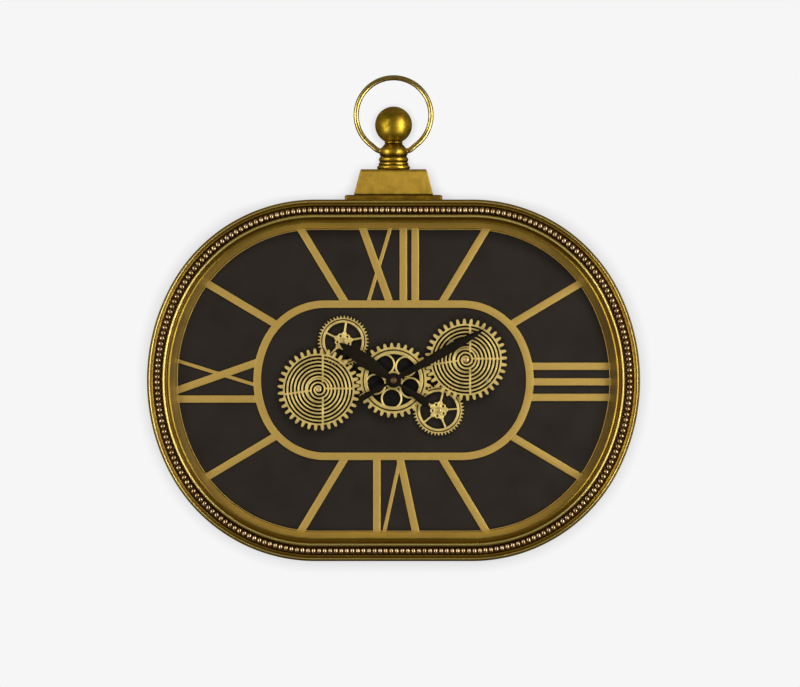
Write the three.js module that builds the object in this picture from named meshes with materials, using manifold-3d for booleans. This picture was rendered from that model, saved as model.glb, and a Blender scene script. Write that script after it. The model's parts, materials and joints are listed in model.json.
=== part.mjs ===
// A wall clock in the form of a wide pocket watch: a moulded oval frame with a string of beads, cut-out
// numerals, five gears that turn in the middle, two hands, and a finial with a bow. Millimetres, +Z up, and
// the front faces -Y. The origin is where the hook sits in the keyhole hanger, on the plane of the wall.
// The pieces are drawn as the clock is seen from the front: x to the right, y up, z out from the wall.
import * as THREE from 'three';
import { mergeVertices } from 'three/addons/utils/BufferGeometryUtils.js';
import Module from 'manifold-3d';

const wasm = await Module();
wasm.setup();

// Driving dimensions of the case, from the wall outwards
const FRAME = { halfWidth: 300, halfHeight: 220, flatHalf: 95, cornerRadius: 200 };
const WINDOW = { halfWidth: 171, halfHeight: 97.5, flatHalf: 83, cornerRadius: 85 };
const ARC_STEPS = 6;
const SEAT = 0.3; // gap between touching pieces
const BACK_LOW = 3; // the back panel is let in, so that only the band meets the wall
const BACK_HIGH = 7;
const DIAL_BACK = 42;
const DIAL_FRONT = 48;
const BAND_INSET = 4;
const BAND_WALL = 2.5;
const FLANGE_REACH = 14;
const FLANGE_THICK = 1.8;
const SKIRT_LOW = 44;
const BEZEL_WIDTH = 35;
const NUMERAL_THICK = 1.5;
const RIM_RING_WIDTH = 2;
const WINDOW_RING_WIDTH = 9.2;
const HANGER_RISE = 170; // hook seat above the hands' axis

// The bead string in the frame's channel
const CHANNEL_FLOOR = 60.4;
const BEAD_INSET = 11.6;
const BEAD_HEIGHT = 62.6;
const BEAD_RADIUS = 3.3;

// The gear train: one module for the large teeth, one for the fine teeth
const COARSE_MODULE = 2.7;
const FINE_MODULE = 1.36;
const LARGE_TEETH = 36;
const CENTRE_TEETH = 32;
const SMALL_TEETH = 44;
const TRANSFER_TEETH = 53;
const COARSE_DISTANCE = (COARSE_MODULE * (LARGE_TEETH + CENTRE_TEETH)) / 2;
const FINE_DISTANCE = (FINE_MODULE * (SMALL_TEETH + TRANSFER_TEETH)) / 2;
const LEFT_DIRECTION = degrees(187);
const RIGHT_DIRECTION = degrees(15.9);
const UPPER_DIRECTION = degrees(63.1); // from the left gear
const LOWER_DIRECTION = degrees(-33.6); // from the centre gear
const CENTRE_PHASE = degrees(3);
const REAR_LAYER = 51;
const REAR_THICK = 2;
const FRONT_LAYER = 54.5;
const FRONT_THICK = 2.5;
const ARBOR_RADIUS = 2;
const ARBOR_HEAD_RADIUS = 3.2;
const ARBOR_HEAD_THICK = 1.2;
const BUSH_RADIUS = 4;
const SLEEVE_RADIUS = 8;

// The hands, set at about ten past ten
const HOUR_HAND = {
  length: 80, tail: 52, blade: 7, widest: 1.15, fullness: 0.7, heel: 5.2, neck: 3.2, hub: 9, bore: 2.9, low: 60,
};
const MINUTE_HAND = {
  length: 126, tail: 48, blade: 4.6, widest: 1.5, fullness: 0.65, heel: 3.8, neck: 2.6, hub: 7, bore: 1.9, low: 63,
};
const HOUR_TURN = degrees(304.5); // clockwise from upright
const MINUTE_TURN = degrees(60.6);
const HAND_THICK = 1.2;

// The movement behind the dial and its concentric shafts
const MOVEMENT_FRONT = DIAL_BACK - 0.7;
const MOVEMENT_DEPTH = 17;
const MOVEMENT_HALF = 28;
const BUSH_THREAD_RADIUS = 5;
const BUSH_END = 58.6;
const HOUR_TUBE_RADIUS = 2.6;
const MINUTE_ARBOR_RADIUS = 1.6;
const HAND_NUT_RADIUS = 4;
const CELL_RADIUS = 7.1;
const CELL_LENGTH = 50;
const KNOB_PLACE = { x: -14, y: 10 };

// The finial, in heights above the hands' axis
const FINIAL_DEPTH = 24; // its axis stands this far out from the wall
const PLATE_TOP = 226.9;
const PEDESTAL_TOP = 258.5;
const COLLAR_HEIGHT = 281.7;
const BALL_HEIGHT = 313.6;
const BALL_RADIUS = 22.75;
const BALL_SEAT = 293.5;
const BOW_CENTRE = 325.8;
const BOW_RADIUS = 46.5;
const BOW_WIRE = 3.25;
const STUD_RADIUS = 3;

const FULL_TURN = Math.PI * 2;

function degrees(angle) {
  return (angle * Math.PI) / 180;
}

function polar(radius, angle) {
  return new THREE.Vector2(radius * Math.cos(angle), radius * Math.sin(angle));
}

function finish(color, roughness, metalness) {
  return new THREE.MeshStandardMaterial({ color, roughness, metalness });
}

const FINISHES = {
  gold: finish(0xb08a45, 0.35, 1),
  paleGold: finish(0xc4a866, 0.4, 1),
  black: finish(0x1d1b19, 0.6, 0),
  blackMetal: finish(0x18171a, 0.45, 0.6),
  board: finish(0x2a2724, 0.8, 0),
  steel: finish(0xa7a9ab, 0.35, 1),
  brass: finish(0xb59a55, 0.35, 1),
  bronze: finish(0x6b4a2a, 0.45, 1),
  plastic: finish(0x202022, 0.55, 0),
  cell: finish(0x8c8f92, 0.4, 0.5),
};

// Closed-body booleans

function solidOf(geometry) {
  const bare = geometry.clone();
  bare.deleteAttribute('normal');
  bare.deleteAttribute('uv');
  const merged = mergeVertices(bare, 1e-4);
  const vertProperties = new Float32Array(merged.attributes.position.array);
  const triVerts = new Uint32Array(merged.index.array);
  return new wasm.Manifold(new wasm.Mesh({ numProp: 3, vertProperties, triVerts }));
}

function geometryOf(solid) {
  const mesh = solid.getMesh();
  const geometry = new THREE.BufferGeometry();
  geometry.setAttribute('position', new THREE.BufferAttribute(new Float32Array(mesh.vertProperties), 3));
  geometry.setIndex(new THREE.BufferAttribute(new Uint32Array(mesh.triVerts), 1));
  geometry.computeVertexNormals();
  return geometry;
}

function cut(geometry, ...tools) {
  return geometryOf(tools.reduce((left, tool) => left.subtract(solidOf(tool)), solidOf(geometry)));
}

function joined(...geometries) {
  return geometryOf(geometries.map(solidOf).reduce((left, right) => left.add(right)));
}

// Plates, turned pieces and swept rings

function plate(outline, low, high, holes = []) {
  const shape = new THREE.Shape(outline);
  shape.holes = holes.map((hole) => new THREE.Path(hole));
  const geometry = new THREE.ExtrudeGeometry(shape, { depth: high - low, bevelEnabled: false });
  return geometry.translate(0, 0, low);
}

function box(left, right, bottom, top, low, high) {
  const geometry = new THREE.BoxGeometry(right - left, top - bottom, high - low);
  return geometry.translate((left + right) / 2, (bottom + top) / 2, (low + high) / 2);
}

// A profile of [radius, height] pairs, listed upwards along its outside, turned about the y axis
function turned(profile, sides = 10) {
  return new THREE.LatheGeometry(
    profile.map(([radius, height]) => new THREE.Vector2(radius, height)),
    sides,
  );
}

// The same about the z axis, so heights run out from the wall
function turnedOut(profile, sides = 10) {
  return turned(profile, sides).rotateX(Math.PI / 2);
}

function rod(radius, low, high, sides = 10) {
  return turnedOut([[0, low], [radius, low], [radius, high], [0, high]], sides);
}

function circle(radius, sides, x = 0, y = 0) {
  return Array.from({ length: sides }, (_, side) => {
    const point = polar(radius, (side / sides) * FULL_TURN);
    return point.add(new THREE.Vector2(x, y));
  });
}

function roundedBox(left, right, bottom, top, radius) {
  const corners = [
    [right - radius, bottom + radius, -90],
    [right - radius, top - radius, 0],
    [left + radius, top - radius, 90],
    [left + radius, bottom + radius, 180],
  ];
  const steps = [0, 45, 90];
  return corners.flatMap(([x, y, start]) =>
    steps.map((step) => polar(radius, degrees(start + step)).add(new THREE.Vector2(x, y))),
  );
}

// The oval's two-arc outline as six arcs, counter-clockwise from the lower right: a corner arc runs from the
// flat top or bottom into the larger arc of the end, where both share a tangent.
function ovalArcs({ halfWidth, halfHeight, flatHalf, cornerRadius }) {
  const reach = halfWidth - flatHalf;
  const rise = halfHeight - cornerRadius;
  const endRadius = (reach ** 2 + rise ** 2 - cornerRadius ** 2) / (2 * (reach - cornerRadius));
  const endCentre = halfWidth - endRadius;
  const meet = Math.atan2(rise, flatHalf - endCentre);
  const half = Math.PI / 2;
  return [
    { x: flatHalf, y: -rise, radius: cornerRadius, from: -half, to: -meet },
    { x: endCentre, y: 0, radius: endRadius, from: -meet, to: meet },
    { x: flatHalf, y: rise, radius: cornerRadius, from: meet, to: half },
    { x: -flatHalf, y: rise, radius: cornerRadius, from: half, to: Math.PI - meet },
    { x: -endCentre, y: 0, radius: endRadius, from: Math.PI - meet, to: Math.PI + meet },
    { x: -flatHalf, y: -rise, radius: cornerRadius, from: Math.PI + meet, to: Math.PI + half },
  ];
}

// Points on the oval and their outward directions; a flat follows every third arc, which keeps its last point
function ovalStations(oval, steps = ARC_STEPS) {
  return ovalArcs(oval).flatMap((arc, index) => {
    const count = index % 3 === 2 ? steps + 1 : steps;
    return Array.from({ length: count }, (_, step) => {
      const outward = polar(1, arc.from + ((arc.to - arc.from) * step) / steps);
      return { point: new THREE.Vector2(arc.x, arc.y).addScaledVector(outward, arc.radius), outward };
    });
  });
}

function ovalPoints(oval, inset, steps = ARC_STEPS) {
  const stations = ovalStations(oval, steps);
  return stations.map(({ point, outward }) => point.clone().addScaledVector(outward, -inset));
}

// Rings of points joined into one closed skin, each ring to the next and the last to the first
function closedSkin(rings) {
  const size = rings[0].length;
  const index = [];
  rings.forEach((_, ring) => {
    const next = (ring + 1) % rings.length;
    for (let corner = 0; corner < size; corner++) {
      const other = (corner + 1) % size;
      const [a, b] = [ring * size + corner, ring * size + other];
      const [c, d] = [next * size + corner, next * size + other];
      index.push(a, c, b, b, c, d);
    }
  });
  const geometry = new THREE.BufferGeometry();
  const flat = rings.flat().flatMap((point) => [point.x, point.y, point.z]);
  geometry.setAttribute('position', new THREE.Float32BufferAttribute(flat, 3));
  geometry.setIndex(index);
  return geometry;
}

// A section of [inset, height] pairs carried round the oval
function sweptRing(stations, section) {
  return closedSkin(
    stations.map(({ point, outward }) =>
      section.map(([inset, height]) => {
        const place = point.clone().addScaledVector(outward, -inset);
        return new THREE.Vector3(place.x, place.y, height);
      }),
    ),
  );
}

// A half-round moulding in a section, from its outer foot over its crown
function roundLip(centre, height, radius, steps) {
  return Array.from({ length: steps + 1 }, (_, step) => {
    const angle = Math.PI - (step / steps) * Math.PI;
    return [centre + radius * Math.cos(angle), height + radius * Math.sin(angle)];
  });
}

// The case

function bezelGeometry() {
  const section = [
    [BAND_INSET - SEAT, SKIRT_LOW],
    [0, SKIRT_LOW],
    ...roundLip(2.2, 61.6, 2.2, 3),
    [5.6, 63.6],
    [7, CHANNEL_FLOOR],
    [16.2, CHANNEL_FLOOR],
    ...roundLip(18.7, 67, 2.4, 3),
    [22.6, 64.4],
    [24.8, 65.4],
    [27.2, 65.4],
    [BEZEL_WIDTH, DIAL_FRONT + SEAT],
    [BAND_INSET - SEAT, DIAL_FRONT + SEAT],
  ];
  return sweptRing(ovalStations(FRAME), section);
}

function beadGeometry() {
  const section = Array.from({ length: 5 }, (_, side) => {
    const corner = polar(BEAD_RADIUS, degrees(90 - 72 * side));
    return [BEAD_INSET + corner.x, Math.max(BEAD_HEIGHT + corner.y, CHANNEL_FLOOR + SEAT)];
  });
  return sweptRing(ovalStations(FRAME), section);
}

const screwPlaces = [
  [FRAME.halfWidth, 0, 1, 0],
  [FRAME.flatHalf, FRAME.halfHeight, 0, 1],
  [-FRAME.flatHalf, FRAME.halfHeight, 0, 1],
  [-FRAME.halfWidth, 0, -1, 0],
  [-FRAME.flatHalf, -FRAME.halfHeight, 0, -1],
  [FRAME.flatHalf, -FRAME.halfHeight, 0, -1],
].map(([x, y, outX, outY]) => {
  const inset = BAND_INSET + BAND_WALL + FLANGE_REACH / 2;
  return new THREE.Vector2(x - outX * inset, y - outY * inset);
});
const SCREW_SHANK = 1.5;
const SCREW_HOLE = SCREW_SHANK + 2 * SEAT;
const SCREW_HEAD = 3.2;
const SCREW_HEAD_THICK = 1.8;

// The sheet band round the case, in two halves that meet at the ends of the oval
function bandHalf(side) {
  const inner = BAND_INSET + BAND_WALL;
  const front = DIAL_FRONT - SEAT;
  const section = [[BAND_INSET, 0], [BAND_INSET, front], [inner, front], [inner, 0]];
  const reach = FRAME.halfWidth + 1;
  const bottom = side === 'upper' ? -reach : -SEAT / 2;
  const otherHalf = box(-reach, reach, bottom, bottom + reach + SEAT / 2, -1, front + 1);
  const studHole = turned([[0, STUD_LOW], [STUD_BORE, STUD_LOW], [STUD_BORE, PLATE_TOP], [0, PLATE_TOP]], 8);
  return cut(sweptRing(ovalStations(FRAME), section), otherHalf, studHole.translate(0, 0, FINIAL_DEPTH));
}

// The ring inside the band that takes the back panel's screws
function flangeGeometry() {
  const low = BACK_HIGH + SEAT;
  const outer = BAND_INSET + BAND_WALL + SEAT;
  const holes = screwPlaces.map(({ x, y }) => circle(SCREW_HOLE, 6, x, y));
  holes.push(ovalPoints(FRAME, outer + FLANGE_REACH));
  return plate(ovalPoints(FRAME, outer), low, low + FLANGE_THICK, holes);
}

const PANEL_INSET = BAND_INSET + BAND_WALL + SEAT;
const SERVICE_OPENING = { left: -40, right: 128, bottom: -52, top: 58 };
const KEYHOLE = { entry: 6, slot: 2.6, drop: 16 };

// A keyhole: a round entry below a slot whose rounded top takes the hook
function keyhole(entry, slot) {
  const lean = Math.asin(slot / entry);
  const entrySpan = FULL_TURN - 2 * lean;
  const low = HANGER_RISE - KEYHOLE.drop;
  const round = Array.from({ length: 9 }, (_, step) =>
    polar(entry, Math.PI / 2 + lean + (entrySpan * step) / 8).add(new THREE.Vector2(0, low)),
  );
  const top = Array.from({ length: 5 }, (_, step) =>
    polar(slot, (Math.PI * step) / 4).add(new THREE.Vector2(0, HANGER_RISE - slot)),
  );
  return [...round, ...top];
}

function backPanelGeometry() {
  const { left, right, bottom, top } = SERVICE_OPENING;
  const holes = screwPlaces.map(({ x, y }) => circle(SCREW_HOLE, 6, x, y));
  holes.push(roundedBox(left, right, bottom, top, 8), keyhole(KEYHOLE.entry + 2, KEYHOLE.slot + 2));
  hangerScrewPlaces.forEach((place) => holes.push(circle(SCREW_HOLE, 6, place, HANGER_SCREW_HEIGHT)));
  return plate(ovalPoints(FRAME, PANEL_INSET), BACK_LOW, BACK_HIGH, holes);
}

const hangerScrewPlaces = [-24, 24];
const HANGER_SCREW_HEIGHT = HANGER_RISE - 8;

function hangerGeometry() {
  const holes = hangerScrewPlaces.map((place) => circle(SCREW_HOLE, 6, place, HANGER_SCREW_HEIGHT));
  holes.push(keyhole(KEYHOLE.entry, KEYHOLE.slot));
  const outline = roundedBox(-32, 32, HANGER_RISE - 28, HANGER_RISE + 12, 6);
  return plate(outline, BACK_HIGH + SEAT, BACK_HIGH + SEAT + 1.5, holes);
}

// A pan-head screw whose head bears at the given height, with its shank running out from there
function screwGeometry(bearing, tip) {
  const profile = [
    [0, bearing - SCREW_HEAD_THICK],
    [SCREW_HEAD - 0.6, bearing - SCREW_HEAD_THICK],
    [SCREW_HEAD, bearing],
    [SCREW_SHANK, bearing],
    [SCREW_SHANK, tip],
    [0, tip],
  ];
  return turnedOut(profile, 6);
}

function dialGeometry() {
  const holes = [circle(BUSH_THREAD_RADIUS + SEAT, 12)];
  const arbors = [leftCentre, rightCentre, upperCentre, lowerCentre];
  arbors.forEach(({ x, y }) => holes.push(circle(BUSH_RADIUS + 2 * SEAT, 8, x, y)));
  driveScrewPlaces.forEach(({ x, y }) => holes.push(circle(SCREW_HOLE, 6, x, y)));
  return plate(ovalPoints(FRAME, PANEL_INSET), DIAL_BACK, DIAL_FRONT, holes);
}

// The numerals: straight strokes from the window ring to the frame, given by both ends and a width
const WIDE_STROKE = 9;
const THIN_STROKE = 4.3;
const TOP_REACH = 190;
const RING_REACH = 93;
const SIDE_REACH = 270;
const RING_SIDE = 165;

function numeralStrokes() {
  const strokes = [];
  for (const sideX of [-1, 1]) {
    for (const sideY of [-1, 1]) {
      strokes.push([sideX * 58, sideY * 93, sideX * 116, sideY * 189, WIDE_STROKE]);
      strokes.push([sideX * 140, sideY * 66, sideX * 240, sideY * 125.5, WIDE_STROKE]);
    }
  }
  const twelve = [
    [-4, RING_REACH, -39.3, TOP_REACH, WIDE_STROKE],
    [-31.6, RING_REACH, -2.6, TOP_REACH, THIN_STROKE],
    [12, RING_REACH, 12, TOP_REACH, WIDE_STROKE],
    [26.5, RING_REACH, 26.5, TOP_REACH, WIDE_STROKE],
  ];
  const six = [
    [-20.3, -RING_REACH, -20.3, -TOP_REACH, WIDE_STROKE],
    [7.4, -RING_REACH, 28.2, -TOP_REACH, WIDE_STROKE],
    [8.6, -RING_REACH, -12.4, -TOP_REACH, THIN_STROKE],
  ];
  const three = [17, -2, -21].map((level) => [RING_SIDE, level, SIDE_REACH, level, WIDE_STROKE]);
  const nine = [
    [-RING_SIDE, -23, -SIDE_REACH, -23, WIDE_STROKE],
    [-RING_SIDE, 22.3, -SIDE_REACH, -14.3, WIDE_STROKE],
    [-RING_SIDE, -7, -SIDE_REACH, 25.7, THIN_STROKE],
  ];
  return strokes.concat(twelve, six, three, nine);
}

function strokeGeometry([startX, startY, endX, endY, width], low, high) {
  const length = Math.hypot(endX - startX, endY - startY);
  const bar = box(0, length, -width / 2, width / 2, low, high);
  return bar.rotateZ(Math.atan2(endY - startY, endX - startX)).translate(startX, startY, 0);
}

function numeralGeometry() {
  const low = DIAL_FRONT + SEAT;
  const high = low + NUMERAL_THICK;
  const rimInset = BEZEL_WIDTH + SEAT;
  const rim = ovalPoints(FRAME, rimInset);
  const rimRing = plate(rim, low, high, [ovalPoints(FRAME, rimInset + RIM_RING_WIDTH)]);
  const windowHole = ovalPoints(WINDOW, WINDOW_RING_WIDTH, 5);
  const windowRing = plate(ovalPoints(WINDOW, 0, 5), low, high, [windowHole]);
  const strokes = numeralStrokes().map((stroke) => strokeGeometry(stroke, low - 1, high + 1));
  const fieldOutline = ovalPoints(FRAME, rimInset + RIM_RING_WIDTH / 2);
  const field = plate(fieldOutline, low, high, [ovalPoints(WINDOW, 1, 5)]);
  const bars = geometryOf(solidOf(joined(...strokes)).intersect(solidOf(field)));
  return joined(rimRing, windowRing, bars);
}

// The gears

function placeFrom(centre, direction, distance) {
  return polar(distance, direction).add(centre);
}

const axis = new THREE.Vector2(0, 0);
const leftCentre = placeFrom(axis, LEFT_DIRECTION, COARSE_DISTANCE);
const rightCentre = placeFrom(axis, RIGHT_DIRECTION, COARSE_DISTANCE);
const upperCentre = placeFrom(leftCentre, UPPER_DIRECTION, FINE_DISTANCE);
const lowerCentre = placeFrom(axis, LOWER_DIRECTION, FINE_DISTANCE);

// The turn, within one tooth, that sets a follower's tooth gap on the driver's tooth at the line between them
function meshedPhase(driverTeeth, driverPhase, direction, followerTeeth) {
  const carried = ((driverPhase - direction) * driverTeeth) / followerTeeth;
  const turn = direction + Math.PI - carried - Math.PI / followerTeeth;
  return turn % (FULL_TURN / followerTeeth);
}

const leftPhase = meshedPhase(CENTRE_TEETH, CENTRE_PHASE, LEFT_DIRECTION, LARGE_TEETH);
const rightPhase = meshedPhase(CENTRE_TEETH, CENTRE_PHASE, RIGHT_DIRECTION, LARGE_TEETH);
const upperPhase = meshedPhase(TRANSFER_TEETH, leftPhase, UPPER_DIRECTION, SMALL_TEETH);
const lowerPhase = meshedPhase(TRANSFER_TEETH, CENTRE_PHASE, LOWER_DIRECTION, SMALL_TEETH);

// Trapezoid teeth, the first one on the +x axis
function coarseOutline({ teeth, tip, root, tipWidth, rootWidth }) {
  return Array.from({ length: teeth }, (_, tooth) => {
    const middle = (tooth / teeth) * FULL_TURN;
    const corners = [
      [root, -rootWidth / 2],
      [tip, -tipWidth / 2],
      [tip, tipWidth / 2],
      [root, rootWidth / 2],
    ];
    return corners.map(([radius, across]) => polar(radius, middle + across / radius));
  }).flat();
}

// Pointed teeth, one point at each tip and one in each valley
function fineOutline(teeth, tip, root) {
  return Array.from({ length: teeth * 2 }, (_, half) =>
    polar(half % 2 === 0 ? tip : root, (half / (teeth * 2)) * FULL_TURN),
  );
}

const LARGE_GEAR = { teeth: LARGE_TEETH, tip: 50.2, root: 43.8, tipWidth: 2.6, rootWidth: 5.8 };
const CENTRE_GEAR = { teeth: CENTRE_TEETH, tip: 45.9, root: 40.6, tipWidth: 2.6, rootWidth: 5.8 };
const SMALL_TIP = 31.3;
const SMALL_ROOT = 28.2;
const TOOTH_ROOM = 0.9; // from a fine tooth's tip to the valley it enters
const TRANSFER_TIP = FINE_DISTANCE - SMALL_ROOT - TOOTH_ROOM;
const TRANSFER_ROOT = FINE_DISTANCE - SMALL_TIP - TOOTH_ROOM;

const SLOT_RINGS = 8;
const SLOT_OUTERMOST = 40.4;
const SLOT_SPACING = 4.5;
const SLOT_WIDTH = 2.2;
const BRIDGE_WIDTH = 2;
// Each bridge is a straight bar across the slots: its direction, and how far it stands left of the centre
const BRIDGES = [
  { direction: degrees(0), aside: 1.2 },
  { direction: degrees(90), aside: -5 },
  { direction: degrees(188), aside: 0 },
  { direction: degrees(270), aside: 5 },
];

// Where a bridge's edge crosses a circle
function bridgeAngle({ direction, aside }, edge, radius) {
  return direction + Math.asin((aside + edge) / radius);
}

function slotHole(radius, bridge, nextBridge) {
  const wrap = nextBridge.direction < bridge.direction ? FULL_TURN : 0;
  const steps = Math.round(2 + radius / 20);
  const arc = (arcRadius) => {
    const from = bridgeAngle(bridge, BRIDGE_WIDTH / 2, arcRadius);
    const to = bridgeAngle(nextBridge, -BRIDGE_WIDTH / 2, arcRadius) + wrap;
    const stride = (to - from) / steps;
    return Array.from({ length: steps + 1 }, (_, step) => polar(arcRadius, from + stride * step));
  };
  return [...arc(radius + SLOT_WIDTH / 2), ...arc(radius - SLOT_WIDTH / 2).reverse()];
}

function largeGearGeometry() {
  const holes = [circle(ARBOR_RADIUS + SEAT, 8)];
  for (let ring = 0; ring < SLOT_RINGS; ring++) {
    const radius = SLOT_OUTERMOST - ring * SLOT_SPACING;
    BRIDGES.forEach((bridge, index) => {
      const nextBridge = BRIDGES[(index + 1) % BRIDGES.length];
      holes.push(slotHole(radius, bridge, nextBridge));
    });
  }
  return plate(coarseOutline(LARGE_GEAR), FRONT_LAYER, FRONT_LAYER + FRONT_THICK, holes);
}

const CENTRE_WINDOWS = 5;
const WINDOW_CIRCLE = 22.3;
const WINDOW_RADIUS = 10.9;
const WINDOW_START = degrees(45);
// The three-cornered notch in the rim end of each spoke
const NOTCH_INNER = 24.5;
const NOTCH_OUTER = 31.7;
const NOTCH_SPREAD = 0.11;

function centreGearGeometry() {
  const holes = [circle(SLEEVE_RADIUS + 2 * SEAT, 12)];
  for (let window = 0; window < CENTRE_WINDOWS; window++) {
    const direction = WINDOW_START + (window / CENTRE_WINDOWS) * FULL_TURN;
    const middle = polar(WINDOW_CIRCLE, direction);
    holes.push(circle(WINDOW_RADIUS, 12, middle.x, middle.y));
    const between = direction + FULL_TURN / CENTRE_WINDOWS / 2;
    const corners = [-NOTCH_SPREAD, 0, NOTCH_SPREAD].map((lean) => polar(NOTCH_OUTER, between + lean));
    holes.push([polar(NOTCH_INNER, between), ...corners]);
  }
  return plate(coarseOutline(CENTRE_GEAR), FRONT_LAYER, FRONT_LAYER + FRONT_THICK, holes);
}

const SPOKES = 5;
const SPOKE_WIDTH = 2.2;
const SPOKE_START = degrees(76);
const SMALL_RIM = 22.6;
const SMALL_HUB = 10;

function smallGearGeometry() {
  const holes = [circle(ARBOR_RADIUS + SEAT, 8)];
  for (let spoke = 0; spoke < SPOKES; spoke++) {
    const from = SPOKE_START + (spoke / SPOKES) * FULL_TURN;
    const span = FULL_TURN / SPOKES;
    const outerLean = SPOKE_WIDTH / 2 / SMALL_RIM;
    const innerLean = SPOKE_WIDTH / 2 / SMALL_HUB;
    const rim = Array.from({ length: 5 }, (_, step) =>
      polar(SMALL_RIM, from + outerLean + ((span - 2 * outerLean) * step) / 4),
    );
    holes.push([...rim, polar(SMALL_HUB, from + span - innerLean), polar(SMALL_HUB, from + innerLean)]);
  }
  return plate(fineOutline(SMALL_TEETH, SMALL_TIP, SMALL_ROOT), REAR_LAYER, REAR_LAYER + REAR_THICK, holes);
}

function transferGeometry(bore) {
  const outline = fineOutline(TRANSFER_TEETH, TRANSFER_TIP, TRANSFER_ROOT);
  return plate(outline, REAR_LAYER, REAR_LAYER + REAR_THICK, [circle(bore + 2 * SEAT, 12)]);
}

function sleeveGeometry() {
  const bore = BUSH_THREAD_RADIUS + SEAT;
  const collarLow = REAR_LAYER + REAR_THICK + SEAT;
  const collarHigh = FRONT_LAYER - SEAT;
  const low = REAR_LAYER;
  const high = FRONT_LAYER + FRONT_THICK + 1;
  const profile = [
    [bore, low],
    [SLEEVE_RADIUS, low],
    [SLEEVE_RADIUS, collarLow],
    [SLEEVE_RADIUS + 3, collarLow],
    [SLEEVE_RADIUS + 3, collarHigh],
    [SLEEVE_RADIUS, collarHigh],
    [SLEEVE_RADIUS, high],
    [bore, high],
    [bore, low],
  ];
  return turnedOut(profile, 10);
}

// An arbor runs through its bush in the dial; a collar behind keeps it in, and its head holds the gear
function arborGeometry(low, wheelHigh) {
  const headLow = wheelHigh + SEAT;
  const profile = [
    [0, low],
    [ARBOR_HEAD_RADIUS, low],
    [ARBOR_HEAD_RADIUS, low + ARBOR_HEAD_THICK],
    [ARBOR_RADIUS, low + ARBOR_HEAD_THICK],
    [ARBOR_RADIUS, headLow],
    [ARBOR_HEAD_RADIUS, headLow],
    [ARBOR_RADIUS, headLow + ARBOR_HEAD_THICK],
    [0, headLow + ARBOR_HEAD_THICK],
  ];
  return turnedOut(profile, 8);
}

function bushGeometry(high) {
  const bore = ARBOR_RADIUS + SEAT;
  const flange = DIAL_FRONT + SEAT;
  const profile = [
    [bore, DIAL_BACK],
    [BUSH_RADIUS, DIAL_BACK],
    [BUSH_RADIUS, flange],
    [BUSH_RADIUS + 2.5, flange],
    [BUSH_RADIUS, high],
    [bore, high],
    [bore, DIAL_BACK],
  ];
  return turnedOut(profile, 8);
}

// The hands: half-width as a function of the way along, from the swollen heel past the hub to the tip

function handOutline({ length, tail, blade, widest, fullness, heel, neck, hub }) {
  const right = [];
  const stem = neck / 2;
  const heelSteps = [0, 0.05, 0.15, 0.35, 0.6, 1];
  heelSteps.forEach((way) => {
    const swell = Math.sin(Math.PI * way ** 0.35);
    right.push([stem + (heel - stem) * swell, -tail + (tail - hub) * way]);
  });
  const hubSteps = [-60, -30, 0, 30, 60];
  hubSteps.forEach((angle) => right.push([hub * Math.cos(degrees(angle)), hub * Math.sin(degrees(angle))]));
  const bladeSteps = [0, 0.2, 0.42, 0.65, 0.85, 0.95];
  bladeSteps.forEach((way) => {
    const swell = Math.sin(Math.PI * way ** widest) ** fullness;
    right.push([neck * (1 - way) + blade * swell, hub + (length - hub) * way]);
  });
  const left = right.map(([x, y]) => [-x, y]).reverse();
  return [...right, [0, length], ...left].map(([x, y]) => new THREE.Vector2(x, y));
}

function handGeometry(hand) {
  return plate(handOutline(hand), hand.low, hand.low + HAND_THICK, [circle(hand.bore, 8)]);
}

// The movement and its shafts

const MOVEMENT_REAR = MOVEMENT_FRONT - MOVEMENT_DEPTH;
const CELL_Y = -21.5;
const CELL_Z = MOVEMENT_REAR + 8.4;

function movementCaseGeometry() {
  const outline = roundedBox(-MOVEMENT_HALF, MOVEMENT_HALF, -31, 25, 4);
  const body = plate(outline, MOVEMENT_REAR, MOVEMENT_FRONT);
  const bush = rod(BUSH_THREAD_RADIUS, MOVEMENT_FRONT - 1, BUSH_END, 12);
  const shaftBore = rod(HOUR_TUBE_RADIUS + SEAT, MOVEMENT_REAR + 8, BUSH_END + 1, 10);
  const trough = box(-26.2, 26.2, CELL_Y - 7.7, CELL_Y + 7.7, MOVEMENT_REAR - 1, CELL_Z + 7.6);
  const knobBore = rod(2.6, MOVEMENT_REAR - 1, MOVEMENT_REAR + 6, 8).translate(KNOB_PLACE.x, KNOB_PLACE.y, 0);
  return cut(joined(body, bush), shaftBore, trough, knobBore);
}

function movementCoverGeometry() {
  const outline = roundedBox(-MOVEMENT_HALF + 1, MOVEMENT_HALF - 1, CELL_Y + 8.5, 24, 3);
  const high = MOVEMENT_REAR - SEAT;
  return plate(outline, high - 1.8, high, [circle(2.6, 8, KNOB_PLACE.x, KNOB_PLACE.y)]);
}

function knobGeometry() {
  const top = MOVEMENT_REAR - 2.4;
  const profile = [
    [0, top - 6],
    [5.4, top - 6],
    [6.4, top - 4.5],
    [6.4, top],
    [2.2, top],
    [2.2, top + 7],
    [0, top + 7],
  ];
  return turnedOut(profile);
}

// A round cell along x, with its terminal at the right
function cellGeometry() {
  const end = CELL_LENGTH / 2;
  const profile = [
    [0, -end],
    [CELL_RADIUS, -end],
    [CELL_RADIUS, end - 1.5],
    [2.6, end - 1.5],
    [2.6, end],
    [0, end],
  ];
  return turned(profile, 8).rotateZ(-Math.PI / 2);
}

function tubeOut(inner, outer, low, high, sides = 10) {
  return turnedOut([[inner, low], [outer, low], [outer, high], [inner, high], [inner, low]], sides);
}

function nutGeometry(inner, acrossFlats, low, high) {
  const corner = acrossFlats / Math.sqrt(3);
  return plate(circle(corner, 6), low, high, [circle(inner, 12)]);
}

// The drive unit behind the right gear, with its own cells and switch

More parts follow.
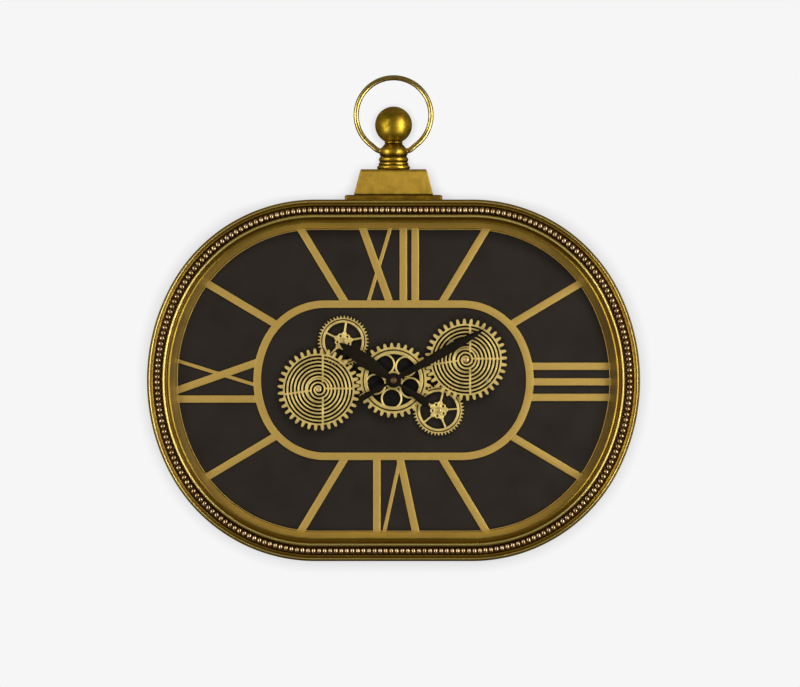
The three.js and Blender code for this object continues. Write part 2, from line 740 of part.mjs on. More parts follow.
const DRIVE = { left: 64, right: 122, bottom: -46, top: 54, rear: 19 };
const DRIVE_FRONT = DIAL_BACK - SEAT;
const DRIVE_CELL_X = (DRIVE.left + DRIVE.right) / 2;
const driveCellRows = [-36.5, -20];
const driveScrewPlaces = [new THREE.Vector2(70, 47), new THREE.Vector2(116, 0)];
const SWITCH_PLACE = { x: 76, y: 34, half: 4, travel: 4 };

function driveCaseGeometry() {
  const outline = roundedBox(DRIVE.left, DRIVE.right, DRIVE.bottom, DRIVE.top, 4);
  const body = plate(outline, DRIVE.rear, DRIVE_FRONT);
  const bay = box(DRIVE_CELL_X - 26.2, DRIVE_CELL_X + 26.2, -44.5, -11.8, DRIVE.rear - 1, DRIVE.rear + 16.2);
  const socket = rod(ARBOR_HEAD_RADIUS + SEAT, DRIVE.rear + 8, DRIVE_FRONT + 1, 8);
  const { x, y, half, travel } = SWITCH_PLACE;
  const [slotLeft, slotRight] = [x - half - SEAT, x + half + travel + SEAT];
  const slot = box(slotLeft, slotRight, y - 2.8, y + 2.8, DRIVE.rear - 1, DRIVE.rear + 4.3);
  const screwHole = rod(SCREW_HOLE, DRIVE_FRONT - 14, DRIVE_FRONT + 1, 6);
  const screwHoles = driveScrewPlaces.map((place) => screwHole.clone().translate(place.x, place.y, 0));
  return cut(body, bay, socket.translate(rightCentre.x, rightCentre.y, 0), slot, ...screwHoles);
}

function driveCoverGeometry() {
  const high = DRIVE.rear - SEAT;
  const outline = roundedBox(DRIVE.left + 1, DRIVE.right - 1, -45.5, -10.8, 3);
  return plate(outline, high - 1.6, high);
}

function switchGeometry() {
  const { x, y, half } = SWITCH_PLACE;
  const base = box(x - half, x + half, y - 2.5, y + 2.5, DRIVE.rear + 1, DRIVE.rear + 4);
  const tab = box(x - 1.5, x + 1.5, y - 2, y + 2, DRIVE.rear - 2.5, DRIVE.rear + 2);
  return joined(base, tab);
}

// The finial

const STUD_BORE = STUD_RADIUS + SEAT;
const STUD_LOW = 203;
const STUD_TOP = BALL_HEIGHT - 6.6;

function finialPlateGeometry() {
  const low = FRAME.halfHeight - BAND_INSET + SEAT;
  const outline = roundedBox(-59.7, 59.7, -19, 19, 3);
  const slab = plate(outline, low, PLATE_TOP - SEAT, [circle(STUD_BORE, 10)]);
  return slab.rotateX(-Math.PI / 2);
}

// A four-sided pedestal that narrows upwards
function pedestalGeometry() {
  const foot = new THREE.Vector3(48.4, PLATE_TOP, 18.5);
  const head = new THREE.Vector3(40.5, PEDESTAL_TOP - SEAT, 15.5);
  const block = new THREE.CylinderGeometry(Math.SQRT2, Math.SQRT2, 2, 4, 1, false, Math.PI / 4);
  const places = block.attributes.position;
  for (let index = 0; index < places.count; index++) {
    const size = places.getY(index) > 0 ? head : foot;
    places.setXYZ(index, places.getX(index) * size.x, size.y, places.getZ(index) * size.z);
  }
  const bore = turned([[0, STUD_LOW], [STUD_BORE, STUD_LOW], [STUD_BORE, STUD_TOP], [0, STUD_TOP]]);
  return cut(block, bore);
}

// A half-round bead on a turned profile
function turnedBead(radius, height, round, steps = 3) {
  return Array.from({ length: steps + 1 }, (_, step) => {
    const angle = -Math.PI / 2 + (step / steps) * Math.PI;
    return [radius - round + round * Math.cos(angle), height + round * Math.sin(angle)];
  });
}

const PIN_HOLE = BOW_WIRE + 0.6;
const PIN_DEPTH = 11.5;

function neckGeometry() {
  const profile = [
    [STUD_BORE, PEDESTAL_TOP],
    ...turnedBead(20.3, PEDESTAL_TOP + 2.6, 2.6),
    [18.5, PEDESTAL_TOP + 7.4],
    [16.6, PEDESTAL_TOP + 10],
    [17.9, PEDESTAL_TOP + 11.8],
    [17.9, PEDESTAL_TOP + 14.2],
    [16.2, PEDESTAL_TOP + 16.8],
    [17.7, PEDESTAL_TOP + 18.6],
    [17.7, PEDESTAL_TOP + 27.8],
    [13.7, PEDESTAL_TOP + 29.2],
    [10.4, PEDESTAL_TOP + 32],
    ...turnedBead(11.2, PEDESTAL_TOP + 33.4, 1.2, 2),
    [STUD_BORE, BALL_SEAT - SEAT],
    [STUD_BORE, PEDESTAL_TOP],
  ];
  const hole = new THREE.CylinderGeometry(PIN_HOLE, PIN_HOLE, 20, 8).rotateZ(Math.PI / 2);
  const holes = [-1, 1].map((side) => hole.clone().translate(side * (PIN_DEPTH + 10), COLLAR_HEIGHT, 0));
  return cut(turned(profile, 10), ...holes);
}

function ballGeometry() {
  const flat = Math.asin((BALL_SEAT - BALL_HEIGHT) / BALL_RADIUS);
  const steps = 7;
  const round = Array.from({ length: steps + 1 }, (_, step) => {
    const angle = flat + ((Math.PI / 2 - flat) * step) / steps;
    return [step === steps ? 0 : BALL_RADIUS * Math.cos(angle), BALL_HEIGHT + BALL_RADIUS * Math.sin(angle)];
  });
  const bore = [[0, STUD_TOP + SEAT], [STUD_BORE, STUD_TOP + SEAT], [STUD_BORE, BALL_SEAT]];
  return turned([...bore, ...round], 12);
}

function bowGeometry() {
  const opening = degrees(30);
  const ringSteps = 22;
  const ring = Array.from({ length: ringSteps + 1 }, (_, step) => {
    const angle = -Math.PI / 2 + opening + ((FULL_TURN - 2 * opening) * step) / ringSteps;
    return new THREE.Vector3(BOW_RADIUS * Math.cos(angle), BOW_CENTRE + BOW_RADIUS * Math.sin(angle), 0);
  });
  const pin = (side) => [
    new THREE.Vector3(side * (PIN_DEPTH + SEAT), COLLAR_HEIGHT, 0),
    new THREE.Vector3(side * 15, COLLAR_HEIGHT, 0),
    new THREE.Vector3(side * 18.5, COLLAR_HEIGHT, 0),
  ];
  const path = new THREE.CatmullRomCurve3([...pin(1), ...ring, ...pin(-1).reverse()]);
  const section = new THREE.Shape(circle(BOW_WIRE, 6));
  return new THREE.ExtrudeGeometry(section, { steps: 30, bevelEnabled: false, extrudePath: path });
}

function studGeometry() {
  return turned([[0, STUD_LOW], [STUD_RADIUS, STUD_LOW], [STUD_RADIUS, STUD_TOP], [0, STUD_TOP]], 8);
}

function finialNutGeometry() {
  const top = FRAME.halfHeight - BAND_INSET - BAND_WALL - SEAT;
  return nutGeometry(STUD_BORE, 10, top - 5, top).rotateX(-Math.PI / 2);
}

// The scene graph

const clock = new THREE.Group();

function add(group, name, geometry, material, { x = 0, y = 0, z = 0, turn = 0 } = {}) {
  const mesh = new THREE.Mesh(geometry, material);
  mesh.name = name;
  mesh.position.set(x, y, z);
  mesh.rotation.z = turn;
  group.add(mesh);
}

function addCase() {
  add(clock, 'bezel_frame', bezelGeometry(), FINISHES.gold);
  add(clock, 'bead_string', beadGeometry(), FINISHES.gold);
  ['upper', 'lower'].forEach((side) => add(clock, `case_band_${side}`, bandHalf(side), FINISHES.gold));
  add(clock, 'back_flange', flangeGeometry(), FINISHES.gold);
  add(clock, 'dial_board', dialGeometry(), FINISHES.black);
  add(clock, 'numeral_plate', numeralGeometry(), FINISHES.paleGold);
  add(clock, 'back_panel', backPanelGeometry(), FINISHES.board);
  screwPlaces.forEach((place, index) => {
    add(clock, `back_screw_${index + 1}`, screwGeometry(BACK_LOW - SEAT, 13), FINISHES.steel, place);
  });
  add(clock, 'hanger_plate', hangerGeometry(), FINISHES.steel);
  ['left', 'right'].forEach((side, index) => {
    const place = { x: hangerScrewPlaces[index], y: HANGER_SCREW_HEIGHT };
    add(clock, `hanger_screw_${side}`, screwGeometry(BACK_LOW - SEAT, 12), FINISHES.steel, place);
  });
}

function addFinial() {
  const finial = new THREE.Group();
  finial.position.z = FINIAL_DEPTH;
  add(finial, 'finial_plate', finialPlateGeometry(), FINISHES.blackMetal);
  add(finial, 'finial_pedestal', pedestalGeometry(), FINISHES.gold);
  add(finial, 'finial_neck', neckGeometry(), FINISHES.gold);
  add(finial, 'finial_ball', ballGeometry(), FINISHES.gold);
  add(finial, 'finial_stud', studGeometry(), FINISHES.steel);
  add(finial, 'finial_nut', finialNutGeometry(), FINISHES.steel);
  add(finial, 'bow', bowGeometry(), FINISHES.gold);
  clock.add(finial);
}

function addGears() {
  const frontTop = FRONT_LAYER + FRONT_THICK;
  const rearTop = REAR_LAYER + REAR_THICK;
  const large = largeGearGeometry();
  const small = smallGearGeometry();
  const centre = { turn: CENTRE_PHASE };
  add(clock, 'centre_gear', centreGearGeometry(), FINISHES.paleGold, centre);
  add(clock, 'centre_transfer_wheel', transferGeometry(SLEEVE_RADIUS), FINISHES.black, centre);
  add(clock, 'centre_sleeve', sleeveGeometry(), FINISHES.brass);
  const behindDial = DIAL_BACK - 3;
  const inDrive = DRIVE.rear + 9;
  const wheels = [
    { side: 'left', gear: large, at: leftCentre, turn: leftPhase, low: behindDial, seat: REAR_LAYER },
    { side: 'right', gear: large, at: rightCentre, turn: rightPhase, low: inDrive, seat: FRONT_LAYER },
    { side: 'upper', gear: small, at: upperCentre, turn: upperPhase, low: behindDial, seat: REAR_LAYER },
    { side: 'lower', gear: small, at: lowerCentre, turn: lowerPhase, low: behindDial, seat: REAR_LAYER },
  ];
  wheels.forEach(({ side, gear, at, turn, low, seat }) => {
    const top = gear === large ? frontTop : rearTop;
    add(clock, `${side}_gear`, gear, FINISHES.paleGold, { x: at.x, y: at.y, turn });
    add(clock, `${side}_arbor`, arborGeometry(low, top), FINISHES.brass, at);
    add(clock, `${side}_bush`, bushGeometry(seat - SEAT), FINISHES.brass, at);
  });
  const leftTransfer = transferGeometry(ARBOR_RADIUS);
  const onLeftArbor = { x: leftCentre.x, y: leftCentre.y, turn: leftPhase };
  add(clock, 'left_transfer_wheel', leftTransfer, FINISHES.black, onLeftArbor);
}

function addMovement() {
  const hourTop = HOUR_HAND.low + HAND_THICK + 0.6;
  const minuteTop = MINUTE_HAND.low + HAND_THICK + 2.6;
  const tubeLow = MOVEMENT_REAR + 9;
  const minuteBore = MINUTE_ARBOR_RADIUS + SEAT;
  const dialNut = nutGeometry(BUSH_THREAD_RADIUS + SEAT, 15, DIAL_FRONT + SEAT, REAR_LAYER - SEAT);
  const nutLow = MINUTE_HAND.low + HAND_THICK + SEAT;
  add(clock, 'movement_case', movementCaseGeometry(), FINISHES.plastic);
  add(clock, 'movement_cover', movementCoverGeometry(), FINISHES.plastic);
  add(clock, 'movement_battery', cellGeometry(), FINISHES.cell, { y: CELL_Y, z: CELL_Z });
  add(clock, 'setting_knob', knobGeometry(), FINISHES.plastic, KNOB_PLACE);
  add(clock, 'dial_nut', dialNut, FINISHES.brass);
  add(clock, 'hour_tube', tubeOut(minuteBore, HOUR_TUBE_RADIUS, tubeLow, hourTop), FINISHES.brass);
  add(clock, 'minute_arbor', rod(MINUTE_ARBOR_RADIUS, tubeLow, minuteTop, 8), FINISHES.brass);
  add(clock, 'hour_hand', handGeometry(HOUR_HAND), FINISHES.blackMetal, { turn: -HOUR_TURN });
  add(clock, 'minute_hand', handGeometry(MINUTE_HAND), FINISHES.blackMetal, { turn: -MINUTE_TURN });
  add(clock, 'hand_nut', tubeOut(minuteBore, HAND_NUT_RADIUS, nutLow, nutLow + 2.4), FINISHES.bronze);
}

function addDrive() {
  add(clock, 'drive_case', driveCaseGeometry(), FINISHES.plastic);
  add(clock, 'drive_cover', driveCoverGeometry(), FINISHES.plastic);
  driveCellRows.forEach((row, index) => {
    const place = { x: DRIVE_CELL_X, y: row, z: DRIVE.rear + 8.2 };
    add(clock, `drive_battery_${index + 1}`, cellGeometry(), FINISHES.cell, place);
  });
  driveScrewPlaces.forEach((place, index) => {
    const screw = screwGeometry(-DIAL_FRONT - SEAT, -DRIVE_FRONT + 12).rotateY(Math.PI);
    add(clock, `drive_screw_${index + 1}`, screw, FINISHES.steel, place);
  });
  add(clock, 'switch_slider', switchGeometry(), FINISHES.plastic);
}

addCase();
addFinial();
addGears();
addMovement();
addDrive();

// Stand the drawn front up and hang it from the hook
clock.rotation.x = Math.PI / 2;
clock.position.z = -HANGER_RISE;
const part = new THREE.Group();
part.name = 'gear_clock';
part.add(clock);
export default part;
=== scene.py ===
"""Gear clock: the dressed pieces, finishes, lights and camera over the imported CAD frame.

Pieces are drawn in face millimetres: x to the right, y up from the hands' axis, t out from the wall.
"""
import json
import math

import bpy
import numpy as np
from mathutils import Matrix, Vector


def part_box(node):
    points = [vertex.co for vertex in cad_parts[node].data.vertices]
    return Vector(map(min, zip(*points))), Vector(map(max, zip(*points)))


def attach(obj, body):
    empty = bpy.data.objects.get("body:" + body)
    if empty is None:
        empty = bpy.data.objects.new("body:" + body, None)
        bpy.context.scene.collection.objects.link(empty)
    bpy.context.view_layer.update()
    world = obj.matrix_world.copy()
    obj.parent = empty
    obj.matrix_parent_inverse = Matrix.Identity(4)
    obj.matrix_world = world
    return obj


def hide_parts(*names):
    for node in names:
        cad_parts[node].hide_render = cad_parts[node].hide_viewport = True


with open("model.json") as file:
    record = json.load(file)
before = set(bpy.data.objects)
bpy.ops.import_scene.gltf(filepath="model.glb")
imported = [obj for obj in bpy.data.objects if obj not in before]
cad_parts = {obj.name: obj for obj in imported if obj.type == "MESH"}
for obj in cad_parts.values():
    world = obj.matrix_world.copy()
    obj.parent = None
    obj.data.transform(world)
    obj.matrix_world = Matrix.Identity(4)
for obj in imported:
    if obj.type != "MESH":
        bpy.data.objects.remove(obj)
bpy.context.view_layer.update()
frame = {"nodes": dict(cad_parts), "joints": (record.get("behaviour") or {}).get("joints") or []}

bl_info = {
    "name": "Gear Clock",
    "version": (1, 0, 0),
    "blender": (4, 5, 0),
    "location": "View3D > Sidebar > Gear Clock",
    "description": "Makes the dressed pieces, finishes and stage of a wall clock with turning gears",
    "category": "Add Mesh",
}

MM = 0.001
TURN = 2 * math.pi
NUT_LOW, NUT_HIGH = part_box("hand_nut")
AXIS_HEIGHT = (NUT_LOW.z + NUT_HIGH.z) / 2 / MM


# Sizes and places from the frame


def face_box(node):
    """Lowest and highest corner of a CAD node in face millimetres: x, y and t."""
    low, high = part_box(node)
    return (np.array([low.x / MM, low.z / MM - AXIS_HEIGHT, -high.y / MM]),
            np.array([high.x / MM, high.z / MM - AXIS_HEIGHT, -low.y / MM]))


def middle(node):
    """Middle of a CAD node."""
    return sum(face_box(node)) / 2


def levels(node):
    """Rear and front level of a CAD node."""
    return [corner[2] for corner in face_box(node)]


def heights(node):
    """Lowest and highest place of a CAD node above the hands' axis."""
    return [corner[1] for corner in face_box(node)]


# Ovals of the frame and of the gear window: flats joined by corner arcs to end arcs
HALF_WIDTH, HALF_HEIGHT, _ = face_box("bezel_frame")[1]
FRAME_OVAL = {"half_width": HALF_WIDTH, "half_height": HALF_HEIGHT, "flat_half": 95.0, "corner_radius": 200.0}
WINDOW_OVAL = {"half_width": 171.0, "half_height": 97.5, "flat_half": 83.0, "corner_radius": 85.0}

# Levels out from the wall
_, BAND_FRONT = levels("case_band_upper")
FLANGE_LOW, FLANGE_HIGH = levels("back_flange")
NUMERAL_LOW, NUMERAL_HIGH = levels("numeral_plate")
REAR_LOW, REAR_HIGH = levels("upper_gear")
FRONT_LOW, FRONT_HIGH = levels("centre_gear")
FINIAL_LEVEL = middle("finial_ball")[2]

# The frame's section from its outer skirt over the lips and the bead channel, its inner wall and the band
# behind it:
# inset from the outer edge, level, softness of the corner, and the mark: patina in the frame's hollows, whose
# lowest values take the crest tone's painted highlight
FRAME_SECTION = np.array([
    (3.7, 44.0, 0.2, 1.0), (0.0, 44.0, 0.5, 0.9), (0.0, 59.0, 1.0, 0.55), (0.6, 61.4, 0.8, 0.4),
    (1.9, 62.1, 0.4, 0.6), (2.3, 63.0, 0.4, 0.1), (3.4, 63.8, 0.8, 0.0), (4.2, 63.0, 0.5, 0.6),
    (4.8, 62.4, 0.4, 0.9), (5.8, 62.6, 0.4, 0.75), (6.6, 63.4, 0.5, 0.25), (7.4, 63.4, 0.6, 0.35),
    (7.9, 62.4, 0.5, 0.7), (8.3, 60.8, 0.6, 1.0), (9.4, 60.3, 0.8, 1.0), (16.4, 60.3, 0.8, 1.0),
    (17.6, 61.2, 0.8, 1.0), (18.2, 65.2, 0.9, 0.7), (19.0, 67.2, 0.9, 0.35), (20.2, 68.5, 0.9, 0.0),
    (21.4, 69.0, 0.9, 0.0), (22.4, 68.2, 0.8, 0.35), (23.2, 66.4, 0.7, 0.6), (24.0, 65.0, 0.5, 0.8),
    (26.2, 64.8, 0.3, 0.6), (27.0, 65.2, 0.3, 0.5), (27.9, 65.6, 0.5, 0.22), (28.4, 64.8, 0.3, 0.5),
    (28.6, 62.8, 0.2, 0.6), (28.6, 58.0, 0.1, 1.0),
])
WALL_SECTION = np.array([
    (27.9, 62.9, 0.1, 0.6), (28.7, 62.9, 0.2, 0.35), (34.2, 50.0, 0.8, 0.2), (35.0, 48.3, 0.2, 0.6),
    (30.0, 48.3, 0.1, 1.0), (27.9, 58.0, 0.1, 1.0),
])
BAND_OUTER, BAND_INNER, FLANGE_INNER = 4.0, 6.5, 20.5
BAND_SECTION = np.array([
    (BAND_OUTER, 0.0, 0.8, 0.4), (BAND_OUTER, BAND_FRONT, 0.3, 0.6), (BAND_INNER, BAND_FRONT, 0.3, 0.8),
    (BAND_INNER, FLANGE_HIGH, 0.3, 0.8), (FLANGE_INNER, FLANGE_HIGH, 0.3, 0.7),
    (FLANGE_INNER, FLANGE_LOW, 0.3, 0.7), (BAND_INNER, FLANGE_LOW, 0.3, 0.8), (BAND_INNER, 0.0, 0.8, 0.4),
])

# Painted shade that is added towards the ends of the oval, as a power of the way there: on the wall, how much
# more on its right and less on its left, and on the right of the lips
END_POWER, WALL_END_SHADE, WALL_RIGHT_SHADE, LIP_END_SHADE = 4, 1.05, 0.12, 0.16

# Beads: inset and level of their middles, tilt of a ball's rows from its flat foot to its top, and the points
# in each row
BEAD_INSET, BEAD_LEVEL = 13.0, 62.4
BEAD_ROWS = np.radians([-40.0, -40.0, 0.0, 35.0, 66.0, 90.0])
BEAD_COLUMNS = 10

# The cut-out plate: its rings, and its strokes with start x, y, end x, y and width. Strokes lie a little
# below the rings, so that no two tops coincide, and their outer ends run in under the frame
WINDOW_RING_WIDTH = 9.2
RIM_RING_INSETS = (35.2, 36.4)
# Painted shade lies at the foot of the plate's strips
PLATE_SOFT, PLATE_FOOT = 0.45, 0.9
WIDE_STROKE, THIN_STROKE = 9.0, 4.3
STROKE_SUNK = {WIDE_STROKE: 0.08, THIN_STROKE: 0.12}
NEAR_RISE, FAR_RISE, NEAR_REACH, FAR_REACH = 93, 190, 165, 270
HOUR_BARS = [
    (side * x0, rise * y0, side * x1, rise * y1, WIDE_STROKE)
    for side in (-1, 1) for rise in (-1, 1)
    for x0, y0, x1, y1 in ((58, 93, 116, 189), (140, 66, 240, 125.5))
]
TWELVE_AND_SIX = [
    (x0, rise * NEAR_RISE, x1, rise * FAR_RISE, width) for rise, x0, x1, width in (
        (1, -31.6, -2.6, THIN_STROKE), (1, -4, -39.3, WIDE_STROKE), (1, 12, 12, WIDE_STROKE),
        (1, 26.5, 26.5, WIDE_STROKE), (-1, -20.3, -20.3, WIDE_STROKE), (-1, 8.6, -12.4, THIN_STROKE),
        (-1, 7.4, 28.2, WIDE_STROKE))
]
THREE_AND_NINE = [
    (side * NEAR_REACH, y0, side * FAR_REACH, y1, width) for side, y0, y1, width in (
        (1, 17, 17, WIDE_STROKE), (1, -2, -2, WIDE_STROKE), (1, -21, -21, WIDE_STROKE),
        (-1, -23, -23, WIDE_STROKE), (-1, -7, 25.7, THIN_STROKE), (-1, 22.3, -14.3, WIDE_STROKE))
]

# Gears: turn of the first tooth
LARGE_GEARS = {"left": math.radians(5.556), "right": math.radians(2.367)}
SMALL_GEARS = {"upper": math.radians(5.597), "lower": math.radians(0.041)}
CENTRE_TURN = math.radians(3.0)

# Their toothed rims, and the plain rim, the dark web and the hub of those that have a hub
LARGE_TEETH = {"teeth": 36, "root": 43.6, "tip": 50.2, "root_width": 4.2, "tip_width": 2.7, "inner": 41.4,
               "low": FRONT_LOW, "high": FRONT_HIGH}
CENTRE_TEETH = {"teeth": 32, "root": 40.4, "tip": 45.9, "root_width": 4.6, "tip_width": 2.6, "inner": 37.7,
                "low": FRONT_LOW, "high": FRONT_HIGH}
SMALL_TEETH = {"teeth": 44, "root": 28.2, "tip": 31.3, "root_width": 2.6, "tip_width": 0.9, "inner": 26.9,
               "low": REAR_LOW, "high": REAR_HIGH, "soft": 0.3}
CENTRE_HUB = {"rim": 34.0, "rim_width": 4.0, "rim_soft": 0.6, "web": 36.8, "web_width": 2.6, "web_thick": 0.5,
              "bore": 8.2, "hub": 11.0, "low": FRONT_LOW, "high": FRONT_HIGH}
SMALL_HUB = {"rim": 24.1, "rim_width": 2.8, "rim_soft": 0.5, "web": 26.2, "web_width": 2.0, "web_thick": 0.4,
             "bore": 2.3, "hub": 5.4, "low": REAR_LOW, "high": REAR_HIGH}

# Large gears: radii of the ridges, the curl inside them, and bridges by direction and offset to the side.
# A bar that crosses rings is sunk a little below their tops
RING_PITCH = 4.5
LARGE_RINGS = 38.15 - RING_PITCH * np.arange(6)
RIDGE_SOFT = 0.45
CURL_INNER, CURL_LAG = 3.2, 0.4
BRIDGES = ((0.0, 1.2), (90.0, -5.0), (188.0, 0.0), (270.0, 5.0))
BRIDGE_START, BRIDGE_END, BRIDGE_WIDTH, BRIDGE_SUNK, BRIDGE_SOFT = 9.0, 42.2, 2.2, 0.02, 0.4

# Centre gear: its round windows and the borders round them
WINDOW_COUNT, WINDOW_REACH, WINDOW_RADIUS = 5, 22.3, 10.9
WINDOW_START = math.radians(45.0)
BORDER_WIDTH, BORDER_OUT, BORDER_SUNK, BORDER_SOFT = 2.3, 1.1, 0.05, 0.9

# Fine gears: spokes, and the eyes of the pierced hub between the spokes and on them, by reach and radius
SPOKE_COUNT, SPOKE_START = 5, math.radians(76.0)
SPOKE_INNER, SPOKE_OUTER, SPOKE_WIDTH, SPOKE_SUNK, SPOKE_SOFT = 5.0, 24.0, 2.2, 0.1, 0.6
EYE_WIDTH, EYE_SUNK, EYE_SOFT = 1.9, 0.05, 0.6
EYE_BETWEEN, EYE_ON_SPOKE = (7.2, 2.3), (9.0, 1.9)

# Hands, and their roof-like section: share of the half-width, rise, softness of the corner and patina
HANDS = {
    "hour": {"length": 80.0, "tail": 52.0, "blade": 7.0, "widest": 1.15, "fullness": 0.7, "heel": 5.2,
             "neck": 3.2, "hub": 9.0, "bore": 2.9, "turn": math.radians(304.5)},
    "minute": {"length": 126.0, "tail": 48.0, "blade": 4.6, "widest": 1.5, "fullness": 0.65, "heel": 3.8,
               "neck": 2.6, "hub": 7.0, "bore": 1.9, "turn": math.radians(60.6)},
}
HAND_THICK, HAND_HUB_SOFT = 1.2, 0.5
HAND_ROOF = np.array([
    (-1, 0, 0.05, 0.8), (-1, 0.45, 0.2, 0.5), (-0.35, 0.85, 0.3, 0.2), (0, HAND_THICK, 0.2, 0.0),
    (0.35, 0.85, 0.3, 0.2), (1, 0.45, 0.2, 0.5), (1, 0, 0.05, 0.8),
])

# The nut on the hands: radius and rise from its foot
NUT_PROFILE = np.array([(0, 0), (4.0, 0), (4.0, 0.8), (3.75, 1.2), (3.2, 1.7), (2.2, 2.15), (1.0, 2.38),
                        (0, 2.4)])

# Finial: the plate's and the pedestal's half-width, half-depth, corner radius, rise from the foot and painted
# shade
PLATE_ROWS = np.array([
    (58.7, 18.0, 3, 0, 0.9), (59.5, 18.8, 3.4, 0.6, 0.6), (59.7, 19.0, 3.5, 1.5, 0.2),
    (59.7, 19.0, 3.5, 8.6, 0.1), (59.4, 18.7, 3.4, 9.4, 0.15), (58.6, 18.0, 3.1, 10.0, 0.5),
    (57.4, 17.2, 3, 10.3, 0.9),
])
PEDESTAL_ROWS = np.array([
    (47.8, 18.0, 1.0, 0, 1.0), (48.4, 18.5, 1.2, 0.6, 0.7), (48.2, 18.4, 1.2, 1.7, 0.2),
    (47.9, 18.2, 1.2, 2.3, 0.0), (41.3, 15.9, 1.2, 27.7, 0.0), (41.0, 15.8, 1.2, 28.3, 0.35),
    (40.6, 15.6, 1.2, 29.3, 0.6), (40.4, 15.5, 1.2, 30.6, 0.7), (40.0, 15.1, 1.0, 31.1, 0.8),
    (39.4, 14.6, 0.9, 31.3, 1.0),
])

# The stem, with rises from its foot: its lowest and highest bead by reach, rise and own radius, the turned
# rolls between them by radius and rise, and the rise and radius of the crests above its grooves
STEM_LOW, STEM_HIGH = heights("finial_neck")
LOW_BEAD, HIGH_BEAD = (20.3, 2.6, 2.6), (11.2, 33.4, 1.2)
STEM_ROLLS = [
    (17.7, 5.3), (18.3, 6.2), (18.5, 7.2), (18.1, 8.2), (17.0, 9.0), (16.7, 9.5), (17.2, 10.1), (17.9, 11.2),
    (18.1, 12.4), (17.9, 13.6), (17.2, 14.7), (16.3, 15.7), (16.0, 16.6), (16.4, 17.6), (17.2, 18.9),
    (17.7, 20.6), (17.8, 22.4), (17.4, 24.2), (16.5, 25.6), (15.4, 26.6), (13.8, 28.4), (12.0, 30.4),
    (10.6, 31.9),
]
STEM_CRESTS = np.array([(0, 18), (4, 20.3), (7.2, 18.5), (10, 18.3), (13, 18.1), (17, 17.9), (22.4, 17.8),
                        (28.4, 14.4), (32, 11.2), (33.4, 11.2)])
# How far the neck darkens in its grooves and where it is slim
GROOVE_DEPTH = 1.8
SLIM_RADIUS, SLIM_SPAN, SLIM_DARKENING = 16, 8, 0.4
# The ball's radius, and the painted shade at its top
BALL_RADIUS, BALL_SHADE = 22.75, 0.55
BALL_SEAT, BALL_TOP = heights("finial_ball")
BALL_CENTRE = BALL_TOP - BALL_RADIUS

# Bow: its ring and wire, half the opening below, the pins on its joint and the pull of the curve that joins
# them to the ring
BOW_CENTRE, BOW_RADIUS = 325.8, 46.0
BOW_OPENING = math.radians(36)
BOW_REAR, BOW_FRONT = levels("bow")
BOW_PIN = next(joint["pos_m"] for joint in frame["joints"] if joint["name"] == "bow_swing")
BOW_PIN_HEIGHT = BOW_PIN[2] / MM - AXIS_HEIGHT
PIN_STATIONS = (11.8, 13.4)
BEND_START, BEND_PULL, RING_PULL = 15.0, 21.0, 4.0

# Stage, in metres: where the camera and the lights look, and the backdrop
VIEW_CENTRE = (0.0079, -0.065, -0.1252)
LIGHT_CENTRE = (0.0, -0.04, AXIS_HEIGHT * MM)
WALL_LEVEL, WALL_TOP = 0.003, 2.2
FLOOR_HEIGHT, FLOOR_END = -1.35, -4.5
BACKDROP_BEND, BACKDROP_HALF = 0.45, 4.0

# Softness of an edge that is left almost sharp
CRISP = 0.1


# Arrays to meshes


def to_world(points):
    """Face points (x, y, t) in the world: (x, -t, y + the axis height), in metres."""
    return np.stack([points[:, 0], -points[:, 2], points[:, 1] + AXIS_HEIGHT], axis=1) * MM


class Shell:
    """One closed surface: points in face millimetres, faces with four and three corners, a mark for patina
    and painted shade.

    Its coat is the place of its finish in the list that the piece is made with.
    """

    coat = 0

    def __init__(self, points, quads, triangles, shade):
        self.points, self.quads, self.triangles, self.shade = points, quads, triangles, shade
        if self.volume() < 0:
            self.quads = self.quads[:, ::-1]
            self.triangles = self.triangles[:, ::-1]

    def volume(self):
        """Six times the enclosed volume: the sum of each face's triple products."""
        halves = [self.quads[:, [0, 1, 2]], self.quads[:, [0, 2, 3]], self.triangles]
        corners = to_world(self.points)[np.concatenate(halves)]
        return np.einsum("ij,ij->i", corners[:, 0], np.cross(corners[:, 1], corners[:, 2])).sum()

    def moved(self, x, y):
        """The same surface shifted on the face."""
        return Shell(self.points + np.array([x, y, 0.0]), self.quads, self.triangles, self.shade)


def make_piece(name, shells, coats, body, nodes, sharp=40.0):
    """Puts shells into one mesh object that stands for CAD nodes and rides on their body.

    Coats are finishes by name, given to the mesh in order, and a shell's coat is its place among them.
    """
    starts = np.cumsum([0] + [len(shell.points) for shell in shells])
    quads = np.concatenate([shell.quads + start for shell, start in zip(shells, starts)])
    triangles = np.concatenate([shell.triangles + start for shell, start in zip(shells, starts)])
    world = to_world(np.concatenate([shell.points for shell in shells]))
    # The mark: patina in the frame's hollows, painted shade on gear and numeral feet, beads, ball and the
    # oval's ends
    patina_and_shade = np.concatenate([shell.shade for shell in shells]).astype(np.float32)
    coat_places = [np.full(len(shell.quads), shell.coat) for shell in shells]
    coat_places += [np.full(len(shell.triangles), shell.coat) for shell in shells]
    mesh = bpy.data.meshes.new(name)
    mesh.from_pydata(world.tolist(), [], quads.tolist() + triangles.tolist())
    mesh.attributes.new("patina_and_shade", "FLOAT", "POINT").data.foreach_set("value", patina_and_shade)
    mesh.shade_smooth()
    mesh.set_sharp_from_angle(angle=math.radians(sharp))
    for coat in coats:
        mesh.materials.append(FINISHES[coat])
    mesh.polygons.foreach_set("material_index", np.concatenate(coat_places).astype(np.int32))
    piece = bpy.data.objects.new(name, mesh)
    bpy.context.scene.collection.objects.link(piece)
    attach(piece, body)
    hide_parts(*nodes)


def round_angles(steps):
    """Even angles round a full turn."""
    return np.linspace(0, TURN, steps, endpoint=False)


